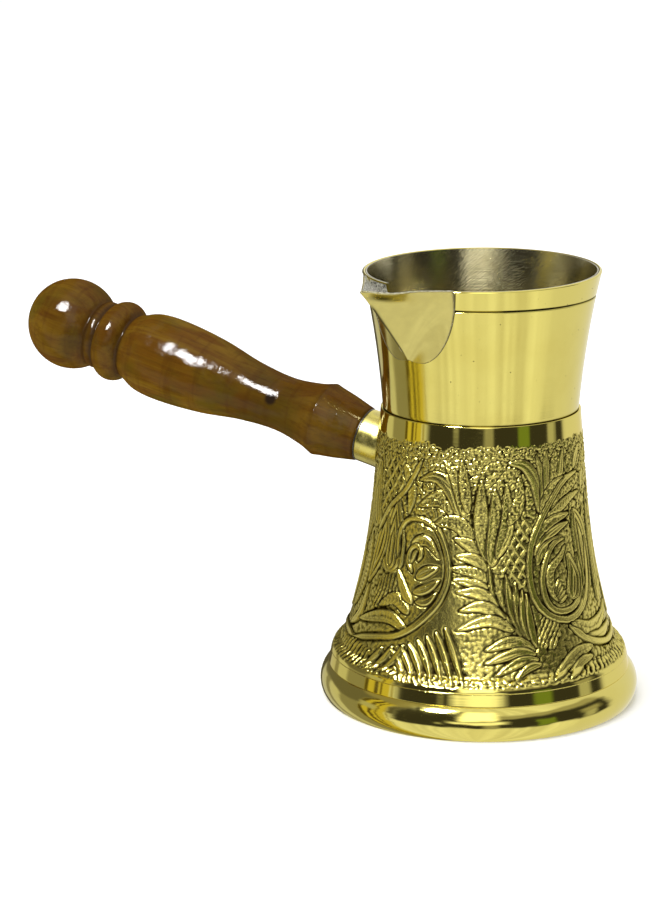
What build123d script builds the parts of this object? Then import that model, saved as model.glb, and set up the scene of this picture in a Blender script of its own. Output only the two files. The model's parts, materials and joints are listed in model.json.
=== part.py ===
"""Brass coffee pot with a soldered spout and a turned wooden handle that unscrews.

Frame: origin on the pot's axis in the plane it stands on, +Z up. The handle leaves towards -X,
rising as it goes, and the spout points close to -Y. Sizes are in millimetres and degrees.
"""

from build123d import *
import os
from math import cos, radians, sin

os.makedirs("parts", exist_ok=True)

# ---------------------------------------------------------------- driving dimensions

pot_height = 110.0
seam_height = 74.9        # the neck sits on the bell here
foot_height = 8.3         # the bell sits on the foot ring here
cast_wall = 2.0
turned_wall = 0.9
lining_wall = 0.3

foot_radius = 40.6        # widest point of the base
foot_joint_radius = 38.5
shoulder_radius = 35.4    # where the polished band ends and the chased body begins
shoulder_height = 14.6
bell_top_radius = 25.1
neck_foot_radius = 24.6
rim_radius = 29.8
plate_radius = 36.4
plate_thickness = 1.6
cavity_foot_radius = 35.4

spigot_radius = 24.0      # the neck's spigot inside the bell's mouth
spigot_depth = 4.9
cavity_top_radius = 23.2

groove_height = 103.6
groove_size = 0.35

spout_azimuth = -108.3
spout_top = 109.6
keel_foot_height = 90.7
keel_foot_radius = 26.95
keel_tip_radius = 43.95
lobe_bottom = 90.0        # lowest point of each wing's rounded outline
lobe_side = 106.0         # above this height the wing's side edge runs straight up
wing_half_angle = 29.0    # as seen from the pot's axis
lobe_fullness = 1.7       # exponent of the rounded outline
sheet = 0.8
notch_near_top = 13.2      # the cut leans open on one side and is almost upright on the other
notch_far_top = 5.3
notch_radius = 4.2
notch_centre_height = 100.0

handle_height = 56.05     # where the handle's axis meets the pot's axis
handle_rise = 14.2
socket_mouth = 32.8       # distances along the handle's axis from the pot's axis
grip_face = 33.3
socket_radius = 7.0
socket_wall = 1.0
plug_root = 29.0
plug_face = 32.3
stud_radius = 3.0
stud_end = 44.2
insert_radius = 4.2
insert_start = 34.1
insert_length = 9.0
thread_clearance = 0.05
drill_radius = 3.4
drill_end = 46.5
washer_gap = 0.05
washer_hole = 3.3

ball_centre = 124.3
ball_radius = 12.3

# ---------------------------------------------------------------- shared frames and outlines

handle_direction = Vector(-cos(radians(handle_rise)), 0, sin(radians(handle_rise)))
handle_axis = Axis((0, 0, handle_height), handle_direction)
# sketch plane through the handle's axis: local x runs along the axis, local y is the radius
handle_plane = Plane(origin=(0, 0, handle_height), x_dir=handle_direction, z_dir=(0, 1, 0))
spout_plane = Plane.XY.rotated((0, 0, spout_azimuth))

neck_rise = pot_height - seam_height
neck_bulge = 1.27         # how far the flare's middle control point stands off the neck's foot


def neck_radius(height):
    """Outer radius of the flared neck: the quadratic curve that its three control points give."""
    share = (height - seam_height) / neck_rise
    return (
        neck_foot_radius * (1 - share) ** 2
        + 2 * (neck_foot_radius + neck_bulge) * share * (1 - share)
        + rim_radius * share**2
    )


def neck_points(inset):
    """Control points of the neck's flare, moved inwards."""
    return [
        (neck_foot_radius - inset, seam_height),
        (neck_foot_radius + neck_bulge - inset, (seam_height + pot_height) / 2),
        (rim_radius - inset, pot_height),
    ]


def cavity_points(inset):
    """Points along the inside of the cast bell, from the foot joint to the neck's spigot."""
    return [
        (cavity_foot_radius - inset, foot_height),
        (30.4 - inset, 22.6),
        (27.0 - inset, 38.0),
        (24.7 - inset, 55.0),
        (cavity_top_radius - inset, seam_height - spigot_depth),
    ]


def ring_section(start, end, inner, outer):
    """Rectangle in the handle's plane, from one radius to another, to be revolved."""
    with Locations(((start + end) / 2, (inner + outer) / 2)):
        Rectangle(end - start, outer - inner)


# ---------------------------------------------------------------- bell: cast lower body

with BuildPart() as bell_blank:
    with BuildSketch(Plane.XZ):
        with BuildLine():
            body_line = Spline(
                (shoulder_radius, shoulder_height),
                (32.5, 22.6),
                (29.0, 38.0),
                (26.8, 55.0),
                (bell_top_radius, seam_height),
            )
            Line(body_line @ 1, (0, seam_height))
            Line((0, seam_height), (0, foot_height))
            Line((0, foot_height), (foot_joint_radius, foot_height))
            Line((foot_joint_radius, foot_height), (37.9, 11.2))
            ThreePointArc((37.9, 11.2), (37.0, 13.3), body_line @ 0)
        make_face()
    revolve(axis=Axis.Z)

with BuildPart() as bell:
    add(bell_blank.part)
    with BuildSketch(Plane.XZ):
        with BuildLine():
            cavity_line = Spline(*cavity_points(0))
            Polyline(
                cavity_line @ 1,
                (spigot_radius, seam_height - spigot_depth),
                (spigot_radius, seam_height),
                (0, seam_height),
                (0, foot_height),
                cavity_line @ 0,
            )
        make_face()
    revolve(axis=Axis.Z, mode=Mode.SUBTRACT)

bell.part.label = "bell"
export_step(bell.part, "parts/bell.step")

# ---------------------------------------------------------------- foot ring: rounded base

with BuildPart() as foot_ring:
    with BuildSketch(Plane.XZ):
        with BuildLine():
            Polyline(
                (39.5, 0),
                (plate_radius, 0),
                (plate_radius, plate_thickness),
                (cavity_foot_radius, plate_thickness),
                (cavity_foot_radius, foot_height),
                (foot_joint_radius, foot_height),
            )
            ThreePointArc((foot_joint_radius, foot_height), (foot_radius, 2.9), (39.5, 0))
        make_face()
    revolve(axis=Axis.Z)

foot_ring.part.label = "foot_ring"
export_step(foot_ring.part, "parts/foot_ring.step")

# ---------------------------------------------------------------- bottom plate

with BuildPart() as bottom_plate:
    Cylinder(plate_radius, plate_thickness, align=(Align.CENTER, Align.CENTER, Align.MIN))

bottom_plate.part.label = "bottom_plate"
export_step(bottom_plate.part, "parts/bottom_plate.step")

# ---------------------------------------------------------------- neck: turned sleeve

with BuildPart() as neck_blank:
    with BuildSketch(Plane.XZ):
        with BuildLine():
            Bezier(*neck_points(0))
            Polyline(
                (rim_radius, pot_height),
                (0, pot_height),
                (0, seam_height),
                (neck_foot_radius, seam_height),
            )
        make_face()
    revolve(axis=Axis.Z)

with BuildPart() as notch:
    notch_plane = Plane(
        origin=(0, 0, 0),
        x_dir=(-sin(radians(spout_azimuth)), cos(radians(spout_azimuth)), 0),
        z_dir=(cos(radians(spout_azimuth)), sin(radians(spout_azimuth)), 0),
    )
    with BuildSketch(notch_plane):
        with BuildLine():
            ThreePointArc(
                (-notch_radius, notch_centre_height),
                (0, notch_centre_height - notch_radius),
                (notch_radius, notch_centre_height),
            )
            Polyline(
                (notch_radius, notch_centre_height),
                (notch_near_top, pot_height + 1),
                (-notch_far_top, pot_height + 1),
                (-notch_radius, notch_centre_height),
            )
        make_face()
    extrude(amount=rim_radius + 5)

with BuildPart() as neck:
    with BuildSketch(Plane.XZ):
        with BuildLine():
            Bezier(*neck_points(0))
            Line((rim_radius, pot_height), (rim_radius - turned_wall, pot_height))
            inner_flare = neck_points(turned_wall)
            Bezier(*inner_flare)
            Polyline(
                inner_flare[0],
                (cavity_top_radius, seam_height - spigot_depth),
                (spigot_radius, seam_height - spigot_depth),
                (spigot_radius, seam_height),
                (neck_foot_radius, seam_height),
            )
        make_face()
    revolve(axis=Axis.Z)
    rim_edges = neck.edges().group_by(Axis.Z)[-1]
    fillet(rim_edges, 0.3)
    with BuildSketch(Plane.XZ):
        with Locations((neck_radius(groove_height) + groove_size / 2, groove_height)):
            Rectangle(groove_size * 2, groove_size * 2, rotation=45)
    revolve(axis=Axis.Z, mode=Mode.SUBTRACT)
    add(notch.part, mode=Mode.SUBTRACT)

neck.part.label = "neck"
export_step(neck.part, "parts/neck.step")

# ---------------------------------------------------------------- tin lining: the whole inside

lining_top = pot_height - 1.0
flare_cut = 3.0           # the lining's flare is drawn to the rim's height, then cut off here

with BuildPart() as tin_lining:
    with BuildSketch(Plane.XZ):
        with BuildLine():
            outer_cavity = Spline(*cavity_points(0))
            Polyline(
                outer_cavity @ 0,
                (cavity_foot_radius, plate_thickness),
                (0, plate_thickness),
                (0, plate_thickness + lining_wall),
                (cavity_foot_radius - lining_wall, plate_thickness + lining_wall),
                (cavity_foot_radius - lining_wall, foot_height),
            )
            Spline(*cavity_points(lining_wall))
            Line(outer_cavity @ 1, neck_points(turned_wall)[0])
            Bezier(*neck_points(turned_wall))
            lining_flare = neck_points(turned_wall + lining_wall)
            Line((cavity_top_radius - lining_wall, seam_height - spigot_depth), lining_flare[0])
            Bezier(*lining_flare)
            Line(
                (rim_radius - turned_wall, pot_height),
                (rim_radius - turned_wall - lining_wall, pot_height),
            )
        make_face()
    revolve(axis=Axis.Z)
    with BuildSketch(Plane.XY.offset(lining_top)):
        Circle(rim_radius + 1)
    extrude(amount=flare_cut, mode=Mode.SUBTRACT)
    add(notch.part, mode=Mode.SUBTRACT)

tin_lining.part.label = "tin_lining"
export_step(tin_lining.part, "parts/tin_lining.step")

# ---------------------------------------------------------------- spout: folded sheet

keel_slope = (keel_tip_radius - keel_foot_radius) / (pot_height - keel_foot_height)
wing_overrun = 0.5        # the wings run this far into the neck before they are trimmed to it
section_heights = [91.0, 92.5, 94.5, 97.0, 100.0, 103.0, lobe_side, pot_height]


def wing_angle(height):
    """Half of the spout's width as an angle about the pot's axis: a rounded lobe, then upright."""
    drop = max(0.0, (lobe_side - height) / (lobe_side - lobe_bottom))
    return wing_half_angle * (1 - drop**lobe_fullness) ** (1 / lobe_fullness)


def spout_wedge(inset, top):
    """Solid between the two wings and the pot's axis, with the wings moved inwards by inset."""
    with BuildPart() as wedge:
        for height in section_heights[:-1] + [top]:
            keel = Vector(keel_foot_radius + (height - keel_foot_height) * keel_slope, 0)
            angle = radians(wing_angle(height))
            edge = Vector(cos(angle), sin(angle)) * neck_radius(height)
            run = (edge - keel).normalized()
            inward = Vector(-run.Y, run.X) * inset
            wing_end = edge + run * wing_overrun + inward
            wing_start = keel.X + inward.X - inward.Y * run.X / run.Y
            with BuildSketch(spout_plane.offset(height)):
                with BuildLine():
                    Polyline(
                        (wing_start, 0),
                        (wing_end.X, wing_end.Y),
                        (0, 0),
                        (wing_end.X, -wing_end.Y),
                        close=True,
                    )
                make_face()
        loft(ruled=True)
    return wedge.part


wedge_body = spout_wedge(0, spout_top)
wedge_channel = spout_wedge(sheet, pot_height + 1)

with BuildPart() as spout:
    add(wedge_body)
    add(wedge_channel, mode=Mode.SUBTRACT)
    add(neck_blank.part, mode=Mode.SUBTRACT)

spout.part.label = "spout"
export_step(spout.part, "parts/spout.step")

# ---------------------------------------------------------------- handle socket: brazed tube

with BuildPart() as handle_socket:
    with BuildSketch(handle_plane):
        ring_section(20.0, socket_mouth, socket_radius - socket_wall, socket_radius)
    revolve(axis=handle_axis)
    add(bell_blank.part, mode=Mode.SUBTRACT)

handle_socket.part.label = "handle_socket"
export_step(handle_socket.part, "parts/handle_socket.step")

# ---------------------------------------------------------------- socket plug: holds the stud

with BuildPart() as socket_plug:
    with BuildSketch(handle_plane):
        ring_section(plug_root, plug_face, stud_radius, socket_radius - socket_wall)
    revolve(axis=handle_axis)

socket_plug.part.label = "socket_plug"
export_step(socket_plug.part, "parts/socket_plug.step")

# ---------------------------------------------------------------- handle stud: steel screw

with BuildPart() as handle_stud:
    with BuildSketch(handle_plane):
        ring_section(plug_root, stud_end, 0, stud_radius)
    revolve(axis=handle_axis)

handle_stud.part.label = "handle_stud"
export_step(handle_stud.part, "parts/handle_stud.step")

# ---------------------------------------------------------------- washer between socket and grip

with BuildPart() as handle_washer:
    with BuildSketch(handle_plane):
        ring_section(socket_mouth + washer_gap, grip_face - washer_gap, washer_hole, socket_radius)
    revolve(axis=handle_axis)

handle_washer.part.label = "handle_washer"
export_step(handle_washer.part, "parts/handle_washer.step")

# ---------------------------------------------------------------- grip: turned wood

face_radius = 7.2
face_chamfer = 0.4
ridge = (45.2, 9.75)
groove_start = (104.3, 8.9)
ring_start = (105.6, 8.9)
ring_crest = (109.2, 11.0)
ring_end = (112.7, 8.7)
bead_crest = (114.3, 9.3)
ball_start_angle = 134.0  # measured about the ball's centre, from the handle's free end

with BuildPart() as handle_grip:
    with BuildSketch(handle_plane):
        with BuildLine():
            Polyline(
                (drill_end, 0),
                (drill_end, drill_radius),
                (insert_start + insert_length, drill_radius),
                (insert_start + insert_length, insert_radius),
                (grip_face, insert_radius),
                (grip_face, face_radius - face_chamfer),
                (grip_face + face_chamfer, face_radius),
                ridge,
            )
            Spline(
                ridge,
                (49.5, 8.4),
                (57.5, 7.3),
                (68.0, 8.1),
                (79.5, 10.2),
                (91.0, 11.25),
                (99.0, 10.95),
                groove_start,
            )
            ThreePointArc(groove_start, (104.95, 8.5), ring_start)
            ThreePointArc(ring_start, ring_crest, ring_end)
            ball = CenterArc((ball_centre, 0), ball_radius, 0, ball_start_angle)
            ThreePointArc(ring_end, bead_crest, ball @ 1)
            Line(ball @ 0, (drill_end, 0))
        make_face()
    revolve(axis=handle_axis)

handle_grip.part.label = "handle_grip"
export_step(handle_grip.part, "parts/handle_grip.step")

# ---------------------------------------------------------------- thread insert in the grip

with BuildPart() as thread_insert:
    with BuildSketch(handle_plane):
        ring_section(
            insert_start,
            insert_start + insert_length,
            stud_radius + thread_clearance,
            insert_radius,
        )
    revolve(axis=handle_axis)

thread_insert.part.label = "thread_insert"
export_step(thread_insert.part, "parts/thread_insert.step")
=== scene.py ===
"""Looks of a brass Turkish coffee pot with a turned wooden handle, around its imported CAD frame.

The pot stands on the floor at the origin, its handle leaves towards -X and its spout points close to -Y.
Outlines are in millimetres, as (radius, height) about the pot or (radius, distance) along the handle,
and become metres when their meshes are made. Angles are in degrees unless a name says otherwise.
"""

import json
from math import ceil, cos, floor, pi, radians, sin
from types import SimpleNamespace

import bmesh
import bpy
import numpy as np
from mathutils import Matrix, Vector


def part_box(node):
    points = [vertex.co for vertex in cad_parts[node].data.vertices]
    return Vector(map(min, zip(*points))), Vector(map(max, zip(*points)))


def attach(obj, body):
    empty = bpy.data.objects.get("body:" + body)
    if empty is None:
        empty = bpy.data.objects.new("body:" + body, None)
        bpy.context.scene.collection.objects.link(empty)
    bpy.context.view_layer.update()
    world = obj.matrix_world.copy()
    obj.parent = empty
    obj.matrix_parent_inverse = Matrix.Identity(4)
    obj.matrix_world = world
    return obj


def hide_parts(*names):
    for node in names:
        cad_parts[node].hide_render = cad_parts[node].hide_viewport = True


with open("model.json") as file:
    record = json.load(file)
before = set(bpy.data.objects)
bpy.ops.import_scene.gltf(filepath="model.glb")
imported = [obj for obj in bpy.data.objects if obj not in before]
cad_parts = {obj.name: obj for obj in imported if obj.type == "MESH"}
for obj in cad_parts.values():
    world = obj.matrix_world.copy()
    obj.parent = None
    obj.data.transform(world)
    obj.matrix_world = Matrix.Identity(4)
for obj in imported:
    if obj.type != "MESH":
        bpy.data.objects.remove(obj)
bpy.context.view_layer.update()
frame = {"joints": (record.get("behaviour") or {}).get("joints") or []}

# ---------------------------------------------------------------- sizes taken from the frame

MM = 0.001


def box_mm(node):
    """Lowest and highest corner of a CAD node, in millimetres."""
    return tuple(np.array(corner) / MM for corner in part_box(node))


BELL_LOW, BELL_HIGH = box_mm("bell")
NECK_LOW, NECK_HIGH = box_mm("neck")
FOOT_TOP = BELL_LOW[2]
SEAM = BELL_HIGH[2]
RIM = NECK_HIGH[2]
SPIGOT_END = NECK_LOW[2]
BELL_FOOT = BELL_HIGH[0]
FOOT_WIDEST = box_mm("foot_ring")[1][0]
RIM_RADIUS = NECK_HIGH[0]
PLATE_RADIUS, _, PLATE_TOP = box_mm("bottom_plate")[1]

HANDLE_JOINT = next(joint for joint in frame["joints"] if joint["name"] == "handle_unscrew")
HANDLE_AXIS = Vector(HANDLE_JOINT["axis"]).normalized()
HANDLE_ROOT = Vector(HANDLE_JOINT["pos_m"])

# ---------------------------------------------------------------- sizes of the pieces, in millimetres

WALL = 0.9
RIM_LOWEST = -78.0
RIM_LEAN = 0.95
RIM_DROP = 0.42
LINING = 0.3
NECK_FOOT = 24.6
NECK_BULGE = 1.27
SPIGOT_RADIUS = 24.0
CAVITY_TOP = 23.2
CAVITY_FOOT = 35.4
SHOULDER = (35.4, 14.6)
BELL_TOP = 25.1
GROOVE_HEIGHT = 103.6
GROOVE = 0.35

SPOUT_AZIMUTH = -108.3
KEEL_FOOT = (26.95, 90.7)
KEEL_TIP = (42.6, 108.6)
SHEET = 0.8
NOTCH_NEAR_TOP = 13.2
NOTCH_FAR_TOP = 5.3
NOTCH_RADIUS = 4.2
NOTCH_CENTRE = 100.0
NOTCH_REACH = (12.0, 40.0)

SOCKET_RADIUS = 7.0
SOCKET_BORE = 6.0
SOCKET_MOUTH = 32.8
PLUG_ROOT = 29.0
PLUG_FACE = 32.3
STUD_RADIUS = 3.0
STUD_END = 44.2
THREAD_PITCH = 1.0
INSERT_RADIUS = 4.2
INSERT_START = 34.1
INSERT_END = 43.1
INSERT_BORE = 3.05
DRILL_RADIUS = 3.4
DRILL_END = 46.5
GRIP_FACE = 33.3
BALL_CENTRE = 124.3
BALL_RADIUS = 12.3

# ---------------------------------------------------------------- curves


def hump(value, centre, width):
    """One at the centre, fading to nothing over about twice the width."""
    return np.exp(-(((value - centre) / width) ** 2))


def unit(vector):
    """The vector at length one."""
    return vector / np.linalg.norm(vector)


def even(points, count):
    """The same polyline with count points, evenly spaced along it."""
    points = np.asarray(points, float)
    steps = np.linalg.norm(np.diff(points, axis=0), axis=1)
    travelled = np.concatenate([[0], np.cumsum(steps)])
    wanted = np.linspace(0, travelled[-1], count)
    return np.stack([np.interp(wanted, travelled, column) for column in points.T], axis=1)


def through(points, count):
    """A smooth curve through the points, as count evenly spaced points."""
    points = np.asarray(points, float)
    if len(points) == 2:
        return even(points, count)
    padded = np.vstack([2 * points[0] - points[1], points, 2 * points[-1] - points[-2]])
    share = np.linspace(0, 1, 16, endpoint=False)[:, None]
    spans = []
    for a, b, c, d in zip(padded, padded[1:], padded[2:], padded[3:]):
        spans.append(
            0.5 * (2 * b + (c - a) * share + (2 * a - 5 * b + 4 * c - d) * share**2
                   + (3 * b - a - 3 * c + d) * share**3)
        )
    return even(np.vstack(spans + [points[-1:]]), count)


def bezier(start, control, end, count):
    """A quadratic curve from start to end."""
    share = np.linspace(0, 1, count)[:, None]
    start, control, end = (np.array(point, float) for point in (start, control, end))
    return start * (1 - share) ** 2 + 2 * control * share * (1 - share) + end * share**2


def arc(start, middle, end, count):
    """The circular arc through three points."""
    (ax, ay), (bx, by), (cx, cy) = start, middle, end
    span = 2 * (ax * (by - cy) + bx * (cy - ay) + cx * (ay - by))
    a2, b2, c2 = ax**2 + ay**2, bx**2 + by**2, cx**2 + cy**2
    centre = np.array([
        (a2 * (by - cy) + b2 * (cy - ay) + c2 * (ay - by)) / span,
        (a2 * (cx - bx) + b2 * (ax - cx) + c2 * (bx - ax)) / span,
    ])
    first, second, last = (np.arctan2(y - centre[1], x - centre[0]) for x, y in (start, middle, end))
    turn = (last - first) % (2 * pi)
    if (second - first) % (2 * pi) > turn:
        turn -= 2 * pi
    angles = first + turn * np.linspace(0, 1, count)
    return centre + np.hypot(*(np.array(start) - centre)) * np.stack([np.cos(angles), np.sin(angles)], 1)


def bevelled(outline, closed=True):
    """Points of an outline of (radius, height, bevel) stations; a bevel rounds its corner."""
    stations = [tuple(station) + (0,) * (3 - len(station)) for station in outline]
    places = [np.array(station[:2], float) for station in stations]
    made = []
    for index, (_, _, bevel) in enumerate(stations):
        here = places[index]
        at_end = not closed and index in (0, len(stations) - 1)
        if not bevel or at_end:
            made.append(here)
            continue
        back = unit(places[index - 1] - here)
        ahead = unit(places[(index + 1) % len(places)] - here)
        made.append(here + back * bevel * 2)
        made.extend(bezier(here + back * bevel, here, here + ahead * bevel, 5))
        made.append(here + ahead * bevel * 2)
    return np.array(made)


# ---------------------------------------------------------------- meshes


def grid_mesh(name, points, wrap_rows=False, wrap_columns=False, merge=False):
    """A smooth mesh of quads over rows x columns of points in millimetres."""
    rows, columns = points.shape[:2]
    index = np.arange(rows * columns).reshape(rows, columns)
    if wrap_rows:
        index = np.vstack([index, index[:1]])
    if wrap_columns:
        index = np.hstack([index, index[:, :1]])
    quads = np.stack([index[:-1, :-1], index[:-1, 1:], index[1:, 1:], index[1:, :-1]], -1).reshape(-1, 4)
    mesh = bpy.data.meshes.new(name)
    mesh.vertices.add(rows * columns)
    mesh.vertices.foreach_set("co", (points * MM).astype(np.float32).ravel())
    mesh.loops.add(quads.size)
    mesh.loops.foreach_set("vertex_index", quads.astype(np.int32).ravel())
    mesh.polygons.add(len(quads))
    mesh.polygons.foreach_set("loop_start", np.arange(0, quads.size, 4, dtype=np.int32))
    mesh.update(calc_edges=True)
    if merge:
        shape = bmesh.new()
        shape.from_mesh(mesh)
        bmesh.ops.remove_doubles(shape, verts=shape.verts, dist=1e-7)
        bmesh.ops.dissolve_degenerate(shape, edges=shape.edges, dist=1e-7)
        bmesh.ops.recalc_face_normals(shape, faces=shape.faces)
        shape.to_mesh(mesh)
        shape.free()
    mesh.shade_smooth()
    return mesh


def turned(section, columns):
    """Rows x columns of points made by turning (radius, height) points about the Z axis."""
    angles = np.linspace(0, 2 * pi, columns, endpoint=False)
    radius, height = np.asarray(section, float).T
    return np.stack([
        radius[:, None] * np.cos(angles),
        radius[:, None] * np.sin(angles),
        np.repeat(height[:, None], columns, axis=1),
    ], axis=-1)


def ring_mesh(name, section, columns=128):
    """A turned ring: the section is a closed loop, counter-clockwise with the radius to the right."""
    return grid_mesh(name, turned(section, columns), wrap_rows=True, wrap_columns=True)


def paint(mesh, name, values):
    """Stores one number for each vertex."""
    layer = mesh.attributes.new(name, "FLOAT", "POINT")
    layer.data.foreach_set("value", np.asarray(values, np.float32).ravel())


def place(mesh, material, matrix=None):
    """An object of the scene with its material, named as its mesh."""
    piece = bpy.data.objects.new(mesh.name, mesh)
    bpy.context.scene.collection.objects.link(piece)
    mesh.materials.append(material)
    if matrix is not None:
        piece.matrix_world = matrix
    return piece


def stand_for(piece, body, node):
    """The piece rides on the body and is seen instead of the CAD node."""
    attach(piece, body)
    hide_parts(node)


def modify(piece, kind, **settings):
    """Adds a modifier and applies it."""
    modifier = piece.modifiers.new(kind.lower(), kind)
    for key, value in settings.items():
        setattr(modifier, key, value)
    graph = bpy.context.evaluated_depsgraph_get()
    result = bpy.data.meshes.new_from_object(piece.evaluated_get(graph))
    piece.modifiers.clear()
    piece.data = result


def handle_matrix():
    """Places a mesh whose Z axis runs along the handle, with its Y axis as level as the pot's rim."""
    z = HANDLE_AXIS
    y = Vector((0, 1, 0))
    x = y.cross(z)
    return Matrix.Translation(HANDLE_ROOT) @ Matrix((x, y, z)).transposed().to_4x4()


# ---------------------------------------------------------------- node trees


class Nodes:
    """A node tree with short calls for the nodes that the materials share."""

    def __init__(self, tree):
        self.tree = tree
        tree.nodes.clear()

    def add(self, kind, inputs=None, **settings):
        """A node with its settings, and its inputs linked or set."""
        node = self.tree.nodes.new(kind)
        for key, value in settings.items():
            setattr(node, key, value)
        for key, value in (inputs or {}).items():
            self.feed(node.inputs[key], value)
        return node

    def feed(self, socket, value):
        """Links a socket to another, or sets its own value."""
        if isinstance(value, bpy.types.NodeSocket):
            self.tree.links.new(value, socket)
        else:
            socket.default_value = value

    def place_mm(self, stretch=(1, 1, 1)):
        """Object coordinates in millimetres, stretched along each axis."""
        scale = tuple(factor / MM for factor in stretch)
        place_node = self.add("ShaderNodeTexCoord").outputs["Object"]
        return self.add("ShaderNodeMapping", {"Vector": place_node, "Scale": scale}).outputs[0]

    def noise(self, vector, size, detail=3.0, roughness=0.5, distortion=0.0):
        """Noise whose blotches are about size millimetres."""
        inputs = {"Vector": vector, "Scale": 1 / size, "Detail": detail, "Roughness": roughness,
                  "Distortion": distortion}
        return self.add("ShaderNodeTexNoise", inputs).outputs["Fac"]

    def math(self, operation, a, b=0.0):
        """Arithmetic on one or two values."""
        return self.add("ShaderNodeMath", {0: a, 1: b}, operation=operation).outputs[0]

    def times(self, a, b):
        """The product of two values."""
        return self.math("MULTIPLY", a, b)

    def plus(self, a, b):
        """The sum of two values."""
        return self.math("ADD", a, b)

    def part(self, vector, index):
        """One coordinate of a vector."""
        return self.add("ShaderNodeSeparateXYZ", {0: vector}).outputs[index]

    def azimuth(self, vector):
        """Angle about the Z axis, in radians."""
        return self.math("ARCTAN2", self.part(vector, 1), self.part(vector, 0))

    def knot(self, centre, radius):
        """One at a point of the object in millimetres, fading out over the radius."""
        offset = self.add("ShaderNodeVectorMath", {0: self.place_mm(), 1: centre}, operation="DISTANCE")
        return self.remap(offset.outputs["Value"], radius, radius * 0.45)

    def remap(self, value, low, high, new_low=0.0, new_high=1.0):
        """A smooth step from new_low to new_high as the value goes from low to high."""
        inputs = {"Value": value, "From Min": low, "From Max": high, "To Min": new_low, "To Max": new_high}
        return self.add("ShaderNodeMapRange", inputs, interpolation_type="SMOOTHSTEP").outputs[0]

    def mix(self, factor, first, second):
        """A blend of two colours."""
        return self.add("ShaderNodeMix", {0: factor, 6: first, 7: second}, data_type="RGBA").outputs[2]

    def attribute(self, name):
        """A number stored on the mesh."""
        return self.add("ShaderNodeAttribute", attribute_name=name).outputs["Fac"]

    def bump(self, height, distance, normal=None):
        """Fine relief of about distance millimetres."""
        inputs = {"Height": height, "Distance": distance * MM, "Strength": 1.0}
        if normal is not None:
            inputs["Normal"] = normal
        return self.add("ShaderNodeBump", inputs).outputs[0]

    def surface(self, **inputs):
        """The shader and the output; the inputs are named as on the shader, with _ for a space."""
        named = {key.replace("_", " "): value for key, value in inputs.items()}
        shader = self.add("ShaderNodeBsdfPrincipled", named)
        self.add("ShaderNodeOutputMaterial", {"Surface": shader.outputs[0]})


def material(name):
    """A new material and its empty node tree."""
    made = bpy.data.materials.new(name)
    made.use_nodes = True
    return made, Nodes(made.node_tree)


def colour(red, green, blue):
    """An opaque colour."""
    return (red, green, blue, 1.0)


BRASS = colour(0.82, 0.725, 0.205)
BRASS_DEEP = colour(0.70, 0.585, 0.135)
# dark brass: patina in the chased hollows and pits, and painted shade along seams
PATINA_AND_SHADE = colour(0.022, 0.016, 0.004)
GRAZING_DARK = colour(0.10, 0.08, 0.03)
VARNISH = 0.012            # share of the light that the varnish reflects
KNOT = (2.4, -7.0, 58.6)   # in the grip's own axes, in millimetres
KNOT_RADIUS = 2.1


def brass_tone(nodes, place_mm, deep=0.25):
    """Brass whose colour drifts a little, as handled metal does."""
    drift = nodes.remap(nodes.noise(place_mm, 14.0, 4.0), 0.45, 0.75, 0.0, deep)
    return nodes.mix(drift, BRASS, BRASS_DEEP)


def grazing(nodes, dark, bright=colour(1, 1, 1)):
    """The tint of flat reflections, so that metal darkened with patina and painted shade stays dark at its
    outline.
    """
    return nodes.mix(dark, bright, GRAZING_DARK)


def chased_brass():
    """The cast bell: mirror-bright bands, with lighter tops and dark hollows where it is chased."""
    made, nodes = material("cast_brass")
    spot = nodes.place_mm()
    hollow = nodes.attribute("hollow")
    chased = nodes.attribute("chased")
    stain = nodes.remap(nodes.noise(spot, 3.0, 4.0), 0.3, 0.7, 0.85, 1.15)
    dark = nodes.math("MINIMUM", nodes.times(hollow, stain), 1.0)
    polish = nodes.remap(nodes.noise(spot, 6.0), 0.35, 0.7, 0.045, 0.08)
    rough = nodes.plus(nodes.plus(nodes.times(chased, 0.06), polish), nodes.times(hollow, 0.22))
    grit = nodes.times(nodes.noise(spot, 0.22, 2.0, 0.6), chased)
    rings = nodes.noise(nodes.place_mm((0.02, 0.02, 3.0)), 1.0, 2.0)
    nodes.surface(Base_Color=nodes.mix(dark, brass_tone(nodes, spot), PATINA_AND_SHADE), Metallic=1.0,
                  Roughness=rough, Specular_Tint=grazing(nodes, dark, colour(1.0, 0.95, 0.75)),
                  Normal=nodes.bump(rings, 0.0035, nodes.bump(grit, 0.055)))
    return made


def solder_tone(nodes, grain):
    """Grey solder, speckled with dark flux."""
    return nodes.mix(nodes.remap(grain, 0.44, 0.56), colour(0.060, 0.056, 0.045), colour(0.62, 0.61, 0.53))


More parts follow.
